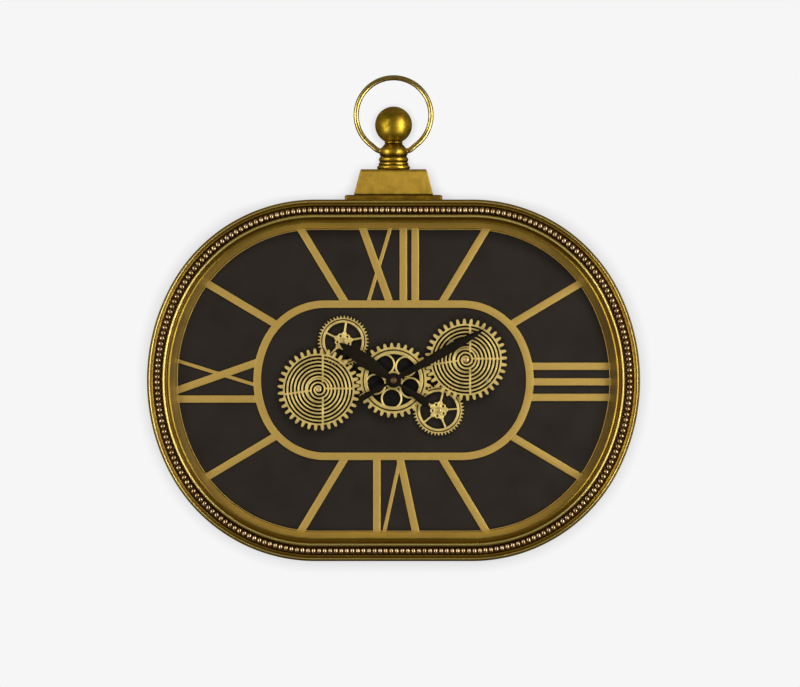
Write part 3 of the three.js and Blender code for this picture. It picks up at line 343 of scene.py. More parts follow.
def ways(angle):
    """The direction of each angle, as x and y."""
    return np.stack([np.cos(angle), np.sin(angle)], axis=-1)


def unit(rows):
    """Each row divided by its length."""
    return rows / np.linalg.norm(rows, axis=1)[:, None]


def left_of(way):
    """Directions turned to the left by a quarter turn."""
    return np.stack([-way[..., 1], way[..., 0]], axis=-1)


def raised(flat, level):
    """A grid of flat points with their levels beside them."""
    return np.concatenate([flat, np.broadcast_to(level, flat.shape[:2])[..., None]], axis=2)


def grid_faces(rows, columns, rows_wrap=False, columns_wrap=True):
    """Faces of a grid of points, row by row, joined round in each direction that wraps."""
    index = np.arange(rows * columns).reshape(rows, columns)
    if rows_wrap:
        index = np.vstack([index, index[:1]])
    if columns_wrap:
        index = np.hstack([index, index[:, :1]])
    corners = [index[:-1, :-1], index[1:, :-1], index[1:, 1:], index[:-1, 1:]]
    return np.stack(corners, axis=-1).reshape(-1, 4)


def closed_grid(grid, shade):
    """A grid that wraps in both directions, as a tube bent into a ring does."""
    rows, columns = grid.shape[:2]
    marks = np.broadcast_to(shade, (rows, columns)).reshape(-1)
    return Shell(grid.reshape(-1, 3), grid_faces(rows, columns, True), np.zeros((0, 3), int), marks)


def capped_grid(grid, shade=0.0, ends=None):
    """A grid whose columns wrap, closed by a fan of triangles to one point before and one after its rows.

    The two points are the middles of the first and last row unless others are given.
    """
    rows, columns = grid.shape[:2]
    around = np.arange(columns)
    after = np.roll(around, -1)
    last_row, first_end = (rows - 1) * columns, rows * columns
    fans = np.concatenate([
        np.stack([around, after, np.full(columns, first_end)], axis=1),
        np.stack([after + last_row, around + last_row, np.full(columns, first_end + 1)], axis=1),
    ])
    points = np.concatenate([grid.reshape(-1, 3), grid[[0, -1]].mean(axis=1) if ends is None else ends])
    marks = np.broadcast_to(shade, (rows, columns))
    marks = np.concatenate([marks.reshape(-1), [marks[0, 0], marks[-1, -1]]])
    return Shell(points, grid_faces(rows, columns), fans, marks)


def soft_section(corners, steps=5):
    """Rounds a closed section: at each corner a quadratic curve runs between points set back by its softness.

    Corners are rows of across, level, softness and patina; the result has the same first two and the last.
    A curve takes up less than half of the shorter side beside it.
    """
    spot, soft, shade = corners[:, :2], corners[:, 2], corners[:, 3]
    back, ahead = np.roll(spot, 1, axis=0) - spot, np.roll(spot, -1, axis=0) - spot
    back_length, ahead_length = np.linalg.norm(back, axis=1), np.linalg.norm(ahead, axis=1)
    reach = np.minimum(soft, 0.49 * np.minimum(back_length, ahead_length))
    start = spot + back * (reach / back_length)[:, None]
    end = spot + ahead * (reach / ahead_length)[:, None]
    way = np.linspace(0, 1, steps)[None, :, None]
    curve = start[:, None] * (1 - way) ** 2 + spot[:, None] * 2 * way * (1 - way) + end[:, None] * way ** 2
    return curve.reshape(-1, 2), np.repeat(shade, steps)


def strip_section(inner, outer, low, high, soft, foot=0.8, top=0.1):
    """A flat strip's section between two places across it: soft upper edges, painted shade at its foot and a
    little at its top.
    """
    return np.array([(inner, low, CRISP, foot), (inner, high, soft, top),
                     (outer, high, soft, top), (outer, low, CRISP, foot)])


def bar_section(width, low, high, soft, foot=0.8, top=0.1):
    """A strip's section about its middle line."""
    return strip_section(-width / 2, width / 2, low, high, soft, foot, top)


def oval_stations(half_width, half_height, flat_half, corner_radius, arc_steps=56, flat_steps=24):
    """Centres, radii and directions round an oval of flats, corner arcs and end arcs that meet smoothly.

    The end arc touches the corner arc, so its radius R solves (R - r) squared = distance of centres squared.
    Half of the oval is a flat, a corner, an end and a corner, and the other half is the same turned round.
    """
    reach, rise = half_width - flat_half, half_height - corner_radius
    end_radius = (reach ** 2 + rise ** 2 - corner_radius ** 2) / (2 * (reach - corner_radius))
    end_centre = half_width - end_radius
    meet = math.atan2(rise, flat_half - end_centre)
    steps = (flat_steps, arc_steps, arc_steps, arc_steps)
    bounds = (math.pi / 2, math.pi / 2, meet, -meet, -math.pi / 2)
    angle = np.concatenate([np.linspace(start, end, count, endpoint=False)
                            for start, end, count in zip(bounds, bounds[1:], steps)])
    x = np.repeat([0.0, flat_half, end_centre, flat_half], steps)
    x[:flat_steps] = np.linspace(-flat_half, flat_half, flat_steps, endpoint=False)
    y = np.repeat([rise, rise, 0.0, -rise], steps)
    radius = np.repeat([corner_radius, corner_radius, end_radius, corner_radius], steps)
    centres = np.stack([x, y], axis=1)
    return np.concatenate([centres, -centres]), np.tile(radius, 2), np.concatenate([angle, angle + math.pi])


def oval_band(oval, section):
    """A section of insets and levels carried round an oval: each point lies on its arc's smaller radius."""
    outline, shade = soft_section(section)
    centres, radii, angles = oval_stations(**oval)
    flat = centres[:, None] + ways(angles)[:, None] * (radii[:, None] - outline[:, 0])[..., None]
    return closed_grid(raised(flat, outline[:, 1]), shade)


def sweep(path, section, closed, widths=1.0):
    """A section carried along a flat path: across it along the path's left normal, and up by its level.

    Widths scale the section's across values from station to station; an open path has flat ends.
    """
    outline, shade = soft_section(section, steps=4)
    if closed:
        along = np.roll(path, -1, axis=0) - np.roll(path, 1, axis=0)
    else:
        along = np.gradient(path, axis=0)
    across = np.broadcast_to(widths, len(path))[:, None] * outline[:, 0]
    grid = raised(path[:, None] + left_of(unit(along))[:, None] * across[..., None], outline[:, 1])
    return closed_grid(grid, shade) if closed else capped_grid(grid, shade)


def ring(radius, section, centre=(0.0, 0.0), steps=96):
    """A section carried round a circle."""
    return sweep(ways(round_angles(steps)) * radius + np.array(centre), section, True)


def bar(start, end, section):
    """A section carried along a straight line."""
    return sweep(np.array([start, end], dtype=float), section, False)


def curl(inner, outer, pitch, start, section):
    """A section carried along a flat spiral whose radius grows by one pitch each turn."""
    turns = (outer - inner) / pitch
    steps_per_turn = 64
    angle = np.linspace(0, TURN * turns, int(turns * steps_per_turn))
    return sweep(ways(start + angle) * (inner + pitch * angle / TURN)[:, None], section, False)


def toothed_ring(turn, teeth, root, tip, root_width, tip_width, inner, low, high, soft=0.45):
    """A flat ring from an inner circle out to a toothed edge, with both upper edges eased by the softness.

    A tooth's slanted flanks rise from the root circle to a shoulder, and its tip is rounded off above that.
    """
    shoulder = tip_width * 1.3
    flank = root_width + (shoulder - root_width) * 0.45
    rise = np.array([0.0, 0.3, 0.72, 0.92, 1.0])
    half = np.array([root_width, flank, shoulder, tip_width * 0.85, tip_width * 0.3]) / 2
    across = np.concatenate([-half, half[::-1], [math.pi * root / teeth]])
    tooth = root + (tip - root) * np.concatenate([rise, rise[::-1], [0.0]])
    angle = (turn + round_angles(teeth)[:, None] + across / tooth).reshape(-1)
    outer = np.tile(tooth, teeth)
    inside = np.full(len(outer), inner)
    reach = np.stack([inside, outer, outer, outer - soft, inside + soft, inside], axis=1)
    level = np.array([low, low, high - soft, high, high, high - soft])
    # Painted shade: dark at the ring's foot, pale on its top
    shade = np.array([0.8, 0.8, 0.2, 0.0, 0.0, 0.3])
    return closed_grid(raised(reach[..., None] * ways(angle)[:, None], level), shade)


def lathe(profile, place, steps, closed=False, shade=None, ripple=0.0, ripples=0):
    """A profile of radius and height turned about an axis; place puts (side, other side, height) on the face.

    An open profile's ends on the axis become points. A ripple makes the radius swell and shrink by that share
    so many times round.
    """
    profile = np.asarray(profile, dtype=float)
    marks = np.zeros(len(profile)) if shade is None else shade
    ends = [place(0.0, 0.0, height) for height in profile[[0, -1], 1]]
    if not closed:
        off_axis = profile[:, 0] > 0
        profile, marks = profile[off_axis], marks[off_axis]
    angle = round_angles(steps)
    radius = profile[:, :1] * (1 + ripple * np.cos(ripples * angle))
    grid = place(radius * np.cos(angle), radius * np.sin(angle), profile[:, 1:])
    return closed_grid(grid, marks[:, None]) if closed else capped_grid(grid, marks[:, None], ends)


def facing(x, y):
    """Places a turned form on an axis that stands out from the wall."""
    return lambda a, b, h: np.stack(np.broadcast_arrays(x + a, y + b, h), axis=-1)


def upright(level):
    """Places a turned form on a vertical axis above the hands' axis."""
    return lambda a, b, h: np.stack(np.broadcast_arrays(a, h, level + b), axis=-1)


def lengthwise(y, level):
    """Places a turned form on an axis that runs across the clock."""
    return lambda a, b, h: np.stack(np.broadcast_arrays(h, y + a, level + b), axis=-1)


def round_bead(radius, height, bead):
    """Half-circle of a turned bead: radius is its outermost reach."""
    return ways(np.linspace(-math.pi / 2, math.pi / 2, 12)) * bead + (radius - bead, height)


def washer(bore, outer, low, high, soft=0.35):
    """A turned disc with a hole, round the hands' axis: its section is a flat bar with soft upper edges."""
    # Painted shade at the disc's foot
    profile, shade = soft_section(np.array([(bore, low, CRISP, 0.8), (bore, high, soft * 0.6, 0.4),
                                            (outer, high, soft, 0.0), (outer, low, CRISP, 0.8)]))
    return lathe(profile, facing(0, 0), steps=64, closed=True, shade=shade)


def rim_and_hub(rim, rim_width, rim_soft, web, web_width, web_thick, bore, hub, low, high):
    """What stands inside a toothed rim: a plain rim, the thin dark web between the two, and the hub."""
    return [ring(rim, bar_section(rim_width, low, high, rim_soft)),
            ring(web, bar_section(web_width, low, low + web_thick, CRISP, 1.0, 1.0)),
            washer(bore, hub, low, high)]


def make_gear(name, kind, shells, axle):
    """Puts a gear's shells round the middle of its axle into one piece that turns with its train."""
    x, y, _ = middle(name + axle)
    make_piece(name + kind, [shell.moved(x, y) for shell in shells], ["gold_gears"], name + "_train",
               [name + "_gear"])


def block_loft(rows, foot):
    """A block with rounded corners: each row gives half-width, half-depth, corner radius, rise, painted
    shade.
    """
    steps = 10
    quarters = np.arange(4) * math.pi / 2
    angle = (quarters[:, None] + np.linspace(0, math.pi / 2, steps)).reshape(-1)
    sign = np.sign(ways(np.repeat(quarters + math.pi / 4, steps)))
    width, depth, corner, rise, shade = (rows[:, column, None] for column in range(5))
    x = (width - corner) * sign[:, 0] + corner * np.cos(angle)
    t = (depth - corner) * sign[:, 1] + corner * np.sin(angle) + FINIAL_LEVEL
    return capped_grid(np.stack(np.broadcast_arrays(x, foot + rise, t), axis=2), shade)


def wire(path, radius, level):
    """A round wire along an upright path: each circle stands across the path, half in the face's plane."""
    side = left_of(unit(np.gradient(path, axis=0)))
    around = ways(round_angles(24)) * radius
    return capped_grid(raised(path[:, None] + side[:, None] * around[None, :, :1], level + around[:, 1]))


def bead_string(radius, reach, pitch):
    """Low domed beads at even steps round the frame's channel, each a small ball cut flat at the floor.

    Places come from the path's running length; a bead's point is its place plus a ball's point, drawn out by
    its radius along the channel and upwards and by its reach across the channel.
    """
    centres, radii, angles = oval_stations(**FRAME_OVAL, arc_steps=400, flat_steps=200)
    outward = ways(angles)
    path = centres + outward * (radii - BEAD_INSET)[:, None]
    path, outward = np.concatenate([path, path[:1]]), np.concatenate([outward, outward[:1]])
    length = np.concatenate([[0], np.cumsum(np.linalg.norm(np.diff(path, axis=0), axis=1))])
    count = int(round(length[-1] / pitch))
    spots = np.linspace(0, length[-1], count, endpoint=False)
    place, across = (np.stack([np.interp(spots, length, line[:, axis]) for axis in (0, 1)], axis=1)
                     for line in (path, outward))
    across = unit(across)
    profile = ways(BEAD_ROWS)
    profile[[0, -1], 0] = 0.0
    ball = lathe(profile, facing(0, 0), BEAD_COLUMNS)
    x, y, rise = ball.points.T
    along = left_of(across)
    flat = place[:, None] + x[:, None] * reach * across[:, None] + y[:, None] * radius * along[:, None]
    offset = np.arange(count)[:, None, None] * len(ball.points)
    # Painted shade: each bead darkens below this rise, towards the channel floor
    shade_rise = 0.75
    dark = np.clip(shade_rise - rise, 0, 1)
    points = raised(flat, BEAD_LEVEL + rise * radius).reshape(-1, 3)
    return Shell(points, (ball.quads + offset).reshape(-1, 4), (ball.triangles + offset).reshape(-1, 3),
                 np.tile(dark, count))


def hand_blade(low, length, tail, blade, widest, fullness, heel, neck, hub, bore, turn):
    """A hand with a raised ridge: half-width swells as a sine on the heel, near its end, and on the blade.

    The blade's sine is widest further out for a larger power of the way, and fuller for a smaller outer
    power.
    Each section is a low roof: its edge stands at the half-width and its ridge on the middle line.
    """
    way = np.linspace(0, 1, 40)
    heel_power, heel_end, blade_end = 0.35, 0.4, 0.25
    heel_half = neck / 2 + (heel - neck / 2) * np.sin(math.pi * way ** heel_power)
    heel_half[0] = heel_end
    blade_half = neck * (1 - way) + blade * np.abs(np.sin(math.pi * way ** widest)) ** fullness
    blade_half[-1] = blade_end
    root = hub * 0.8
    along = np.concatenate([-tail + (tail - root) * way, root + (length - root) * way])
    path = along[:, None] * np.array([math.sin(turn), math.cos(turn)])
    hub_ring = washer(bore, hub, low, low + HAND_THICK, HAND_HUB_SOFT)
    return [sweep(path, HAND_ROOF + (0, low, 0, 0), False, np.concatenate([heel_half, blade_half])), hub_ring]


def cross_screw(x, y, radius, seat, crown, root):
    """A domed screw head with a pressed cross: level = dome of the radius, less the cross near its arms.

    The head's polar grid runs from its rim to its middle, and its shank stands on the other side.
    """
    arm_half, arm_length, side_slope, end_slope = 0.16, 0.62, 0.06, 0.08
    dome_fall, cross_depth, shank_share, shank_darkening = 0.55, 0.5, 0.45, 0.3
    around = ways(round_angles(48))
    share = np.concatenate([[1.0, 1.0], np.linspace(0.94, 0.06, 16)])[:, None]
    flat = share[..., None] * around
    arm = np.abs(flat).min(axis=2)
    cross = np.clip((arm_half - arm) / side_slope, 0, 1) * np.clip((arm_length - share) / end_slope, 0, 1)
    dome = 1 - share ** 2 * dome_fall - cross_depth * cross
    dome[0] = 0.0
    head = raised(flat * radius + (x, y), seat + (crown - seat) * dome)
    shank_ring = around * radius * shank_share + (x, y)
    shank = raised(np.stack([shank_ring, shank_ring]), np.array([[root], [seat]]))
    # The cross is marked darker, and the shank a little
    return capped_grid(np.concatenate([shank, head]),
                       np.concatenate([np.full(shank.shape[:2], shank_darkening), cross]))


# Finishes

FINISHES = {}

# Where most of a noise's values lie, and the whole of a share
SPREAD, WHOLE = (0.3, 0.7), (0.0, 1.0)


class ShaderTree:
    """The nodes of a material or a world, and short calls that add to them."""

    def __init__(self, owner):
        owner.use_nodes = True
        self.nodes, self.links = owner.node_tree.nodes, owner.node_tree.links

    def put(self, socket, value):
        """Joins another node's output to an input, or sets a number or a colour on it."""
        if isinstance(value, bpy.types.NodeSocket):
            self.links.new(value, socket)
        else:
            socket.default_value = value

    def add(self, kind, output, inputs=None, **settings):
        """A new node with settings and inputs; gives one of its outputs, by name or place."""
        node = self.nodes.new("ShaderNode" + kind)
        for name, value in settings.items():
            setattr(node, name, value)
        for socket, value in (inputs or {}).items():
            self.put(node.inputs[socket], value)
        return node.outputs[output]

    def remap(self, value, source, target):
        """A value drawn from one range to another, held at both ends."""
        return self.add("MapRange", "Result", {"Value": value, "From Min": source[0], "From Max": source[1],
                                               "To Min": target[0], "To Max": target[1]})

    def math(self, kind, first, second):
        """One sum of two values or of a value and a number."""
        return self.add("Math", "Value", {0: first, 1: second}, operation=kind)

    def part(self, vector, axis):
        """One of a vector's three numbers."""
        return self.add("SeparateXYZ", axis, {"Vector": vector})

    def end(self, output, share, first, second):
        """Ends the tree with a surface between two others."""
        mixed = self.add("MixShader", "Shader", {"Fac": share, 1: first, 2: second})
        self.put(self.nodes[output].inputs["Surface"], mixed)


class Finish(ShaderTree):
    """A procedural material of the clock: a principled surface and the nodes that feed it."""

    def __init__(self, name, metallic):
        FINISHES[name] = bpy.data.materials.new(name)
        super().__init__(FINISHES[name])
        self.shader = self.nodes["Principled BSDF"]
        self.feed("Metallic", metallic)
        self.place = self.add("TexCoord", "Object")

    def feed(self, socket, value):
        """Gives one of the shader's sockets a value."""
        self.put(self.shader.inputs[socket], value)

    def noise(self, scale, detail, roughness=0.55, distortion=0.0, vector=None):
        """Soft cloudy noise."""
        return self.add("TexNoise", "Fac", {"Scale": scale, "Detail": detail, "Roughness": roughness,
                                            "Distortion": distortion, "Vector": vector or self.place})

    def strokes(self, stretch, detail, roughness=0.55):
        """Noise that is scaled along the axes, so that it runs out into strokes."""
        vector = self.add("Mapping", "Vector", {"Scale": stretch, "Vector": self.place})
        return self.noise(1.0, detail, roughness, vector=vector)

    def patina_and_shade(self):
        """The mark that a shell carries for the patina in its hollows and for painted shade."""
        return self.add("Attribute", "Fac", attribute_name="patina_and_shade")

    def blend(self, share, first, second):
        """A colour between two, each a colour or another node's output."""
        first, second = (tone if isinstance(tone, bpy.types.NodeSocket) else (*tone, 1.0)
                         for tone in (first, second))
        return self.add("Mix", 2, {"Factor": share, 6: first, 7: second}, data_type="RGBA")

    def bump(self, height, strength, distance):
        """Fine relief in metres."""
        self.feed("Normal", self.add("Bump", "Normal", {"Strength": strength, "Distance": distance,
                                                        "Height": height}))


def gilded(name, bright, worn, hollow_and_shade, metallic=0.85, roughness=(0.36, 0.52), cloud=24.0, wear=0.5, depth=1.0,
           rubbed_crest_and_highlight=None):
    """Gold: cloudy drift between a bright and a worn tone, dark where marked as patina in hollows and as
    painted shade, with a fine grain.

    A pale crest tone lies where the mark is lowest: partly rubbed edges, partly a painted highlight.
    """
    gold = Finish(name, metallic)
    cloudy = gold.noise(cloud, detail=5.0, roughness=0.62, distortion=0.4)
    fine = gold.noise(scale=900.0, detail=2.0)
    half_drift = wear * 0.22
    drift = gold.remap(cloudy, (0.5 - half_drift, 0.5 + half_drift + 0.02), WHOLE)
    tone = gold.blend(drift, bright, worn)
    if rubbed_crest_and_highlight is not None:
        # Painted highlight: the pale crest tone on the lowest marks, together with rubbed gold
        tone = gold.blend(gold.remap(gold.patina_and_shade(), (0.0, 0.3), WHOLE), rubbed_crest_and_highlight, tone)
    speck = gold.remap(fine, (0.3, 0.75), (-0.12, 0.16))
    stain = gold.remap(cloudy, (0.35, 0.7), (-0.1, 0.12))
    deep = gold.math("MULTIPLY", gold.patina_and_shade(), depth)
    deep = gold.math("ADD", gold.math("ADD", deep, speck), stain)
    gold.feed("Base Color", gold.blend(gold.remap(deep, WHOLE, WHOLE), tone, hollow_and_shade))
    gold.feed("Roughness", gold.math("ADD", gold.remap(cloudy, SPREAD, roughness),
                                     gold.remap(fine, SPREAD, (-0.04, 0.05))))
    gold.bump(fine, strength=0.18, distance=0.0004)


def satin_black(name, tone, sheen, roughness=(0.42, 0.6), grain=700.0, gloss=0.4):
    """Dark paint: a faint drift towards a lighter tone, and a fine grain in gloss and relief."""
    paint = Finish(name, metallic=0.0)
    paint.feed("Specular IOR Level", gloss)
    cloudy = paint.noise(scale=30.0, detail=4.0)
    fine = paint.noise(grain, detail=2.0)
    mixed = paint.math("ADD", paint.remap(cloudy, (0.35, 0.7), (0.0, 0.6)),
                       paint.remap(fine, (0.4, 0.75), (0.0, 0.4)))
    paint.feed("Base Color", paint.blend(mixed, tone, sheen))
    paint.feed("Roughness", paint.remap(cloudy, SPREAD, roughness))
    paint.bump(fine, strength=0.12, distance=0.0003)


def drawn_metal(name, light, dark):
    """Bare metal with fine strokes left by its making, a little staining, and darker where the mark is high.
    """
    metal = Finish(name, metallic=0.7)
    stroke = metal.strokes(stretch=(30.0, 30.0, 900.0), detail=3.0)
    stain = metal.noise(scale=60.0, detail=4.0)
    mixed = metal.math("ADD", metal.remap(stroke, SPREAD, (0.0, 0.55)),
                       metal.remap(stain, (0.5, 0.8), (0.0, 0.45)))
    metal.feed("Base Color", metal.blend(metal.math("MAXIMUM", mixed, metal.patina_and_shade()), light, dark))
    metal.feed("Roughness", metal.remap(stroke, SPREAD, (0.25, 0.42)))
    metal.bump(stroke, strength=0.1, distance=0.0002)


def fibre_board(name, light, dark):
    """Pressed board: short fibres in two tones under thin dark paint."""
    board = Finish(name, metallic=0.0)
    fibres = board.strokes(stretch=(900.0, 300.0, 260.0), detail=4.0, roughness=0.7)
    blots = board.noise(scale=55.0, detail=4.0)
    mixed = board.math("ADD", board.remap(fibres, (0.35, 0.7), (0.0, 0.7)),
                       board.remap(blots, (0.4, 0.8), (0.0, 0.4)))
    board.feed("Base Color", board.blend(mixed, dark, light))
    board.feed("Roughness", board.remap(fibres, SPREAD, (0.66, 0.85)))
    board.bump(fibres, strength=0.25, distance=0.0005)


def cell_sleeve(name, body, top, edge):
    """A cell's printed sleeve: a dark body and a copper end, parted along the cell by its place."""
    sleeve = Finish(name, metallic=0.35)
    blur = 0.0004
    share = sleeve.remap(sleeve.part(sleeve.place, "X"), (edge - blur, edge + blur), WHOLE)
    sleeve.feed("Base Color", sleeve.blend(share, body, top))
    cloudy = sleeve.noise(scale=120.0, detail=3.0)
    sleeve.feed("Roughness", sleeve.remap(cloudy, SPREAD, (0.22, 0.4)))


def dress(coat, *nodes):
    """Gives CAD nodes that keep their own shape a finish."""
    for node in nodes:
        mesh_object = frame["nodes"][node]
        if not mesh_object.material_slots:
            mesh_object.data.materials.append(FINISHES[coat])
        for slot in mesh_object.material_slots:
            slot.material = FINISHES[coat]


def size(name, note, default, unit="LENGTH"):
    """A size that a user would change, in metres unless another unit is given."""
    return bpy.props.FloatProperty(name=name, description=note, default=default, unit=unit, min=0.0)


def colour(name, note, default):
    """A colour that a user would change."""
    return bpy.props.FloatVectorProperty(name=name, description=note, default=default, size=3, min=0.0,
                                         max=1.0, subtype="COLOR")


class ClockSizes(bpy.types.PropertyGroup):
    """Sizes of the dressed pieces."""

    bead_radius: size("Bead Radius", "Radius of each bead in the frame's channel", 3.3 * MM)
    bead_reach: size("Bead Reach", "Half the width of each bead across the channel", 4.2 * MM)
    bead_pitch: size("Bead Pitch", "Distance from bead to bead along the channel", 6.75 * MM)
    ridge_width: size("Ridge Width", "Width of the ridges on the large gears", 2.0 * MM)
    bow_wire: size("Bow Wire", "Radius of the bow's wire", (BOW_FRONT - BOW_REAR) / 2 * MM)


class ClockColours(bpy.types.PropertyGroup):
    """Colours of the finishes."""

    # Crest gold is partly rubbed gold and partly a painted highlight on the frame's crests
    gold_rubbed_crest_and_highlight: colour("Crest Gold", "Pale gold on the frame's rubbed edges", (0.62, 0.50, 0.155))
    gold_bright: colour("Bright Gold", "Rubbed gold on the frame's lips", (0.33, 0.235, 0.016))
    gold_worn: colour("Worn Gold", "Olive gold where the paint is worn", (0.22, 0.145, 0.007))
    # Hollow gold is also the tone of the painted shade on the beads and at the lips' right end
    gold_hollow_and_shade: colour("Hollow Gold", "Dark paint left in the frame's hollows", (0.12, 0.045, 0.0015))
    numeral_gold: colour("Numeral Gold", "Satin gold of the numerals", (0.525, 0.352, 0.085))
    gear_gold: colour("Gear Gold", "Pale gold of the gears", (0.85, 0.66, 0.225))
    brass: colour("Brass", "Bright tone of the finial", (0.60, 0.385, 0.035))
    dial: colour("Dial", "Satin black of the dial board", (0.0155, 0.0122, 0.0090))
    hand: colour("Hand", "Black of the hands", (0.005, 0.0038, 0.002))


class ClockStage(bpy.types.PropertyGroup):
    """Light and camera."""

    left_power: size("Left Light Power", "Power of the mirrored soft box at the left", 46.0, "POWER")
    right_power: size("Right Light Power", "Power of the mirrored soft box at the right", 68.0, "POWER")
    top_power: size("Top Fill Power", "Power of the unmirrored fill above", 70.0, "POWER")
    low_power: size("Low Fill Power", "Power of the unmirrored fill below", 60.0, "POWER")
    back_power: size("Back Light Power", "Power of the unmirrored fill behind", 85.0, "POWER")
    ambient: size("Ambient", "Brightness of the room round the clock", 0.1, "NONE")
    camera_distance: size("Camera Distance", "Distance from the camera to the frame's front", 3.0)
    lens: size("Lens", "Focal length of the camera", 111.2, "CAMERA")


class ClockOperator:
    """What the clock's operators share."""

    bl_options = {"REGISTER", "UNDO"}


class CLOCK_OT_finishes(ClockOperator, bpy.types.Operator):
    """Make the finishes that the pieces share"""

    bl_idname = "gear_clock.finishes"
    bl_label = "Finishes"

    def execute(self, context):
        tone = context.scene.clock_colours
        # Each gold's third tone is where its mark darkens it: patina in the frame's hollows, painted shade at
        # gear and numeral feet, on beads and ball, and at the oval's ends
        gilded("antique_gold_frame", tone.gold_bright, tone.gold_worn, tone.gold_hollow_and_shade, metallic=0.8,
               roughness=(0.25, 0.36), wear=0.8, rubbed_crest_and_highlight=tone.gold_rubbed_crest_and_highlight)
        # The wall's darkest tone mostly shows as painted shade towards the ends of the oval
        gilded("gold_wall", (0.52, 0.33, 0.05), (0.43, 0.26, 0.038), (0.12, 0.072, 0.011), metallic=0.15,
               roughness=(0.42, 0.54), cloud=12.0, wear=1.2)
        gilded("bead_gold", (0.42, 0.31, 0.175), (0.32, 0.21, 0.09), tone.gold_hollow_and_shade, roughness=(0.2, 0.28),
               cloud=60.0)
        gilded("gold_case", (0.56, 0.37, 0.06), (0.32, 0.195, 0.024), tone.gold_hollow_and_shade, metallic=0.7,
               cloud=14.0, depth=0.5)
        gilded("gold_finial", tone.brass, tone.gold_worn, (0.06, 0.032, 0.003), metallic=1.0,
               roughness=(0.37, 0.46), cloud=40.0)
        gilded("bow_gold", (0.70, 0.55, 0.17), (0.38, 0.28, 0.06), (0.06, 0.032, 0.003), metallic=1.0,
               roughness=(0.24, 0.32), cloud=40.0)
        gilded("gold_pedestal", (0.78, 0.50, 0.064), (0.50, 0.31, 0.033), (0.09, 0.05, 0.003),
               roughness=(0.38, 0.5), cloud=70.0, wear=0.7)
        gilded("gold_numerals", tone.numeral_gold, (0.49, 0.328, 0.079), (0.12, 0.065, 0.01), metallic=0.75,
               roughness=(0.46, 0.54), cloud=18.0, depth=0.6, wear=1.4)
        gilded("gold_gears", tone.gear_gold, (0.62, 0.46, 0.15), (0.05, 0.026, 0.004), metallic=0.6,
               roughness=(0.34, 0.46), cloud=70.0)
        gilded("brown_nut", (0.10, 0.055, 0.018), (0.06, 0.034, 0.012), (0.015, 0.008, 0.003), metallic=0.6,
               roughness=(0.5, 0.6), cloud=120.0)
        gilded("dark_plate", (0.34, 0.19, 0.015), (0.18, 0.10, 0.008), (0.03, 0.015, 0.002), metallic=0.95,
               roughness=(0.52, 0.66), cloud=50.0, wear=0.7)
        satin_black("dial_black", tone.dial, (0.0185, 0.0145, 0.0105), gloss=0.1)
        satin_black("black_wheel", (0.005, 0.0045, 0.004), (0.009, 0.008, 0.007), gloss=0.06)
        satin_black("black_hands", tone.hand, (0.012, 0.0085, 0.004), (0.4, 0.55), gloss=0.06)
        satin_black("black_plastic", (0.012, 0.012, 0.013), (0.03, 0.03, 0.031), (0.45, 0.65), grain=1500.0)
        fibre_board("back_board", (0.075, 0.05, 0.032), (0.028, 0.02, 0.014))
        drawn_metal("steel", (0.62, 0.62, 0.6), (0.32, 0.31, 0.29))
        drawn_metal("turned_brass", (0.72, 0.52, 0.22), (0.42, 0.28, 0.1))
        for name, edge in (("cell_wrap", 8.0 * MM), ("drive_cell_wrap", 101.0 * MM)):
            cell_sleeve(name, (0.02, 0.021, 0.024), (0.55, 0.26, 0.10), edge)
        return {"FINISHED"}


class CLOCK_OT_frame(ClockOperator, bpy.types.Operator):
    """Make the moulded frame and the band behind it"""

    bl_idname = "gear_clock.frame"
    bl_label = "Frame And Band"

    def execute(self, context):
        moulding, wall, band = (oval_band(FRAME_OVAL, section)
                                for section in (FRAME_SECTION, WALL_SECTION, BAND_SECTION))
        # Painted shade: the wall darkens towards both ends of the oval, more at the right, and the lips
        # towards the right end
        ends = wall.points[:, 0] / FRAME_OVAL["half_width"]
        growth = WALL_END_SHADE + WALL_RIGHT_SHADE * np.sign(ends)
        wall.shade = np.clip(wall.shade + growth * ends ** END_POWER, 0, 1)
        wall.coat = 1
        right_end = np.clip(moulding.points[:, 0] / FRAME_OVAL["half_width"], 0, 1)
        moulding.shade = np.clip(moulding.shade + LIP_END_SHADE * right_end ** END_POWER, 0, 1)
        make_piece("frame_moulding", [moulding, wall], ["antique_gold_frame", "gold_wall"], "case",
                   ["bezel_frame"])
        make_piece("side_band", [band], ["gold_case"], "case",
                   ["case_band_upper", "case_band_lower", "back_flange"])
        return {"FINISHED"}


class CLOCK_OT_beads(ClockOperator, bpy.types.Operator):
    """Make the string of beads in the frame's channel"""

    bl_idname = "gear_clock.beads"
    bl_label = "Beads"

    def execute(self, context):
        sizes = context.scene.clock_sizes
        beads = bead_string(sizes.bead_radius / MM, sizes.bead_reach / MM, sizes.bead_pitch / MM)
        make_piece("beads", [beads], ["bead_gold"], "case", ["bead_string"], sharp=70.0)
        return {"FINISHED"}


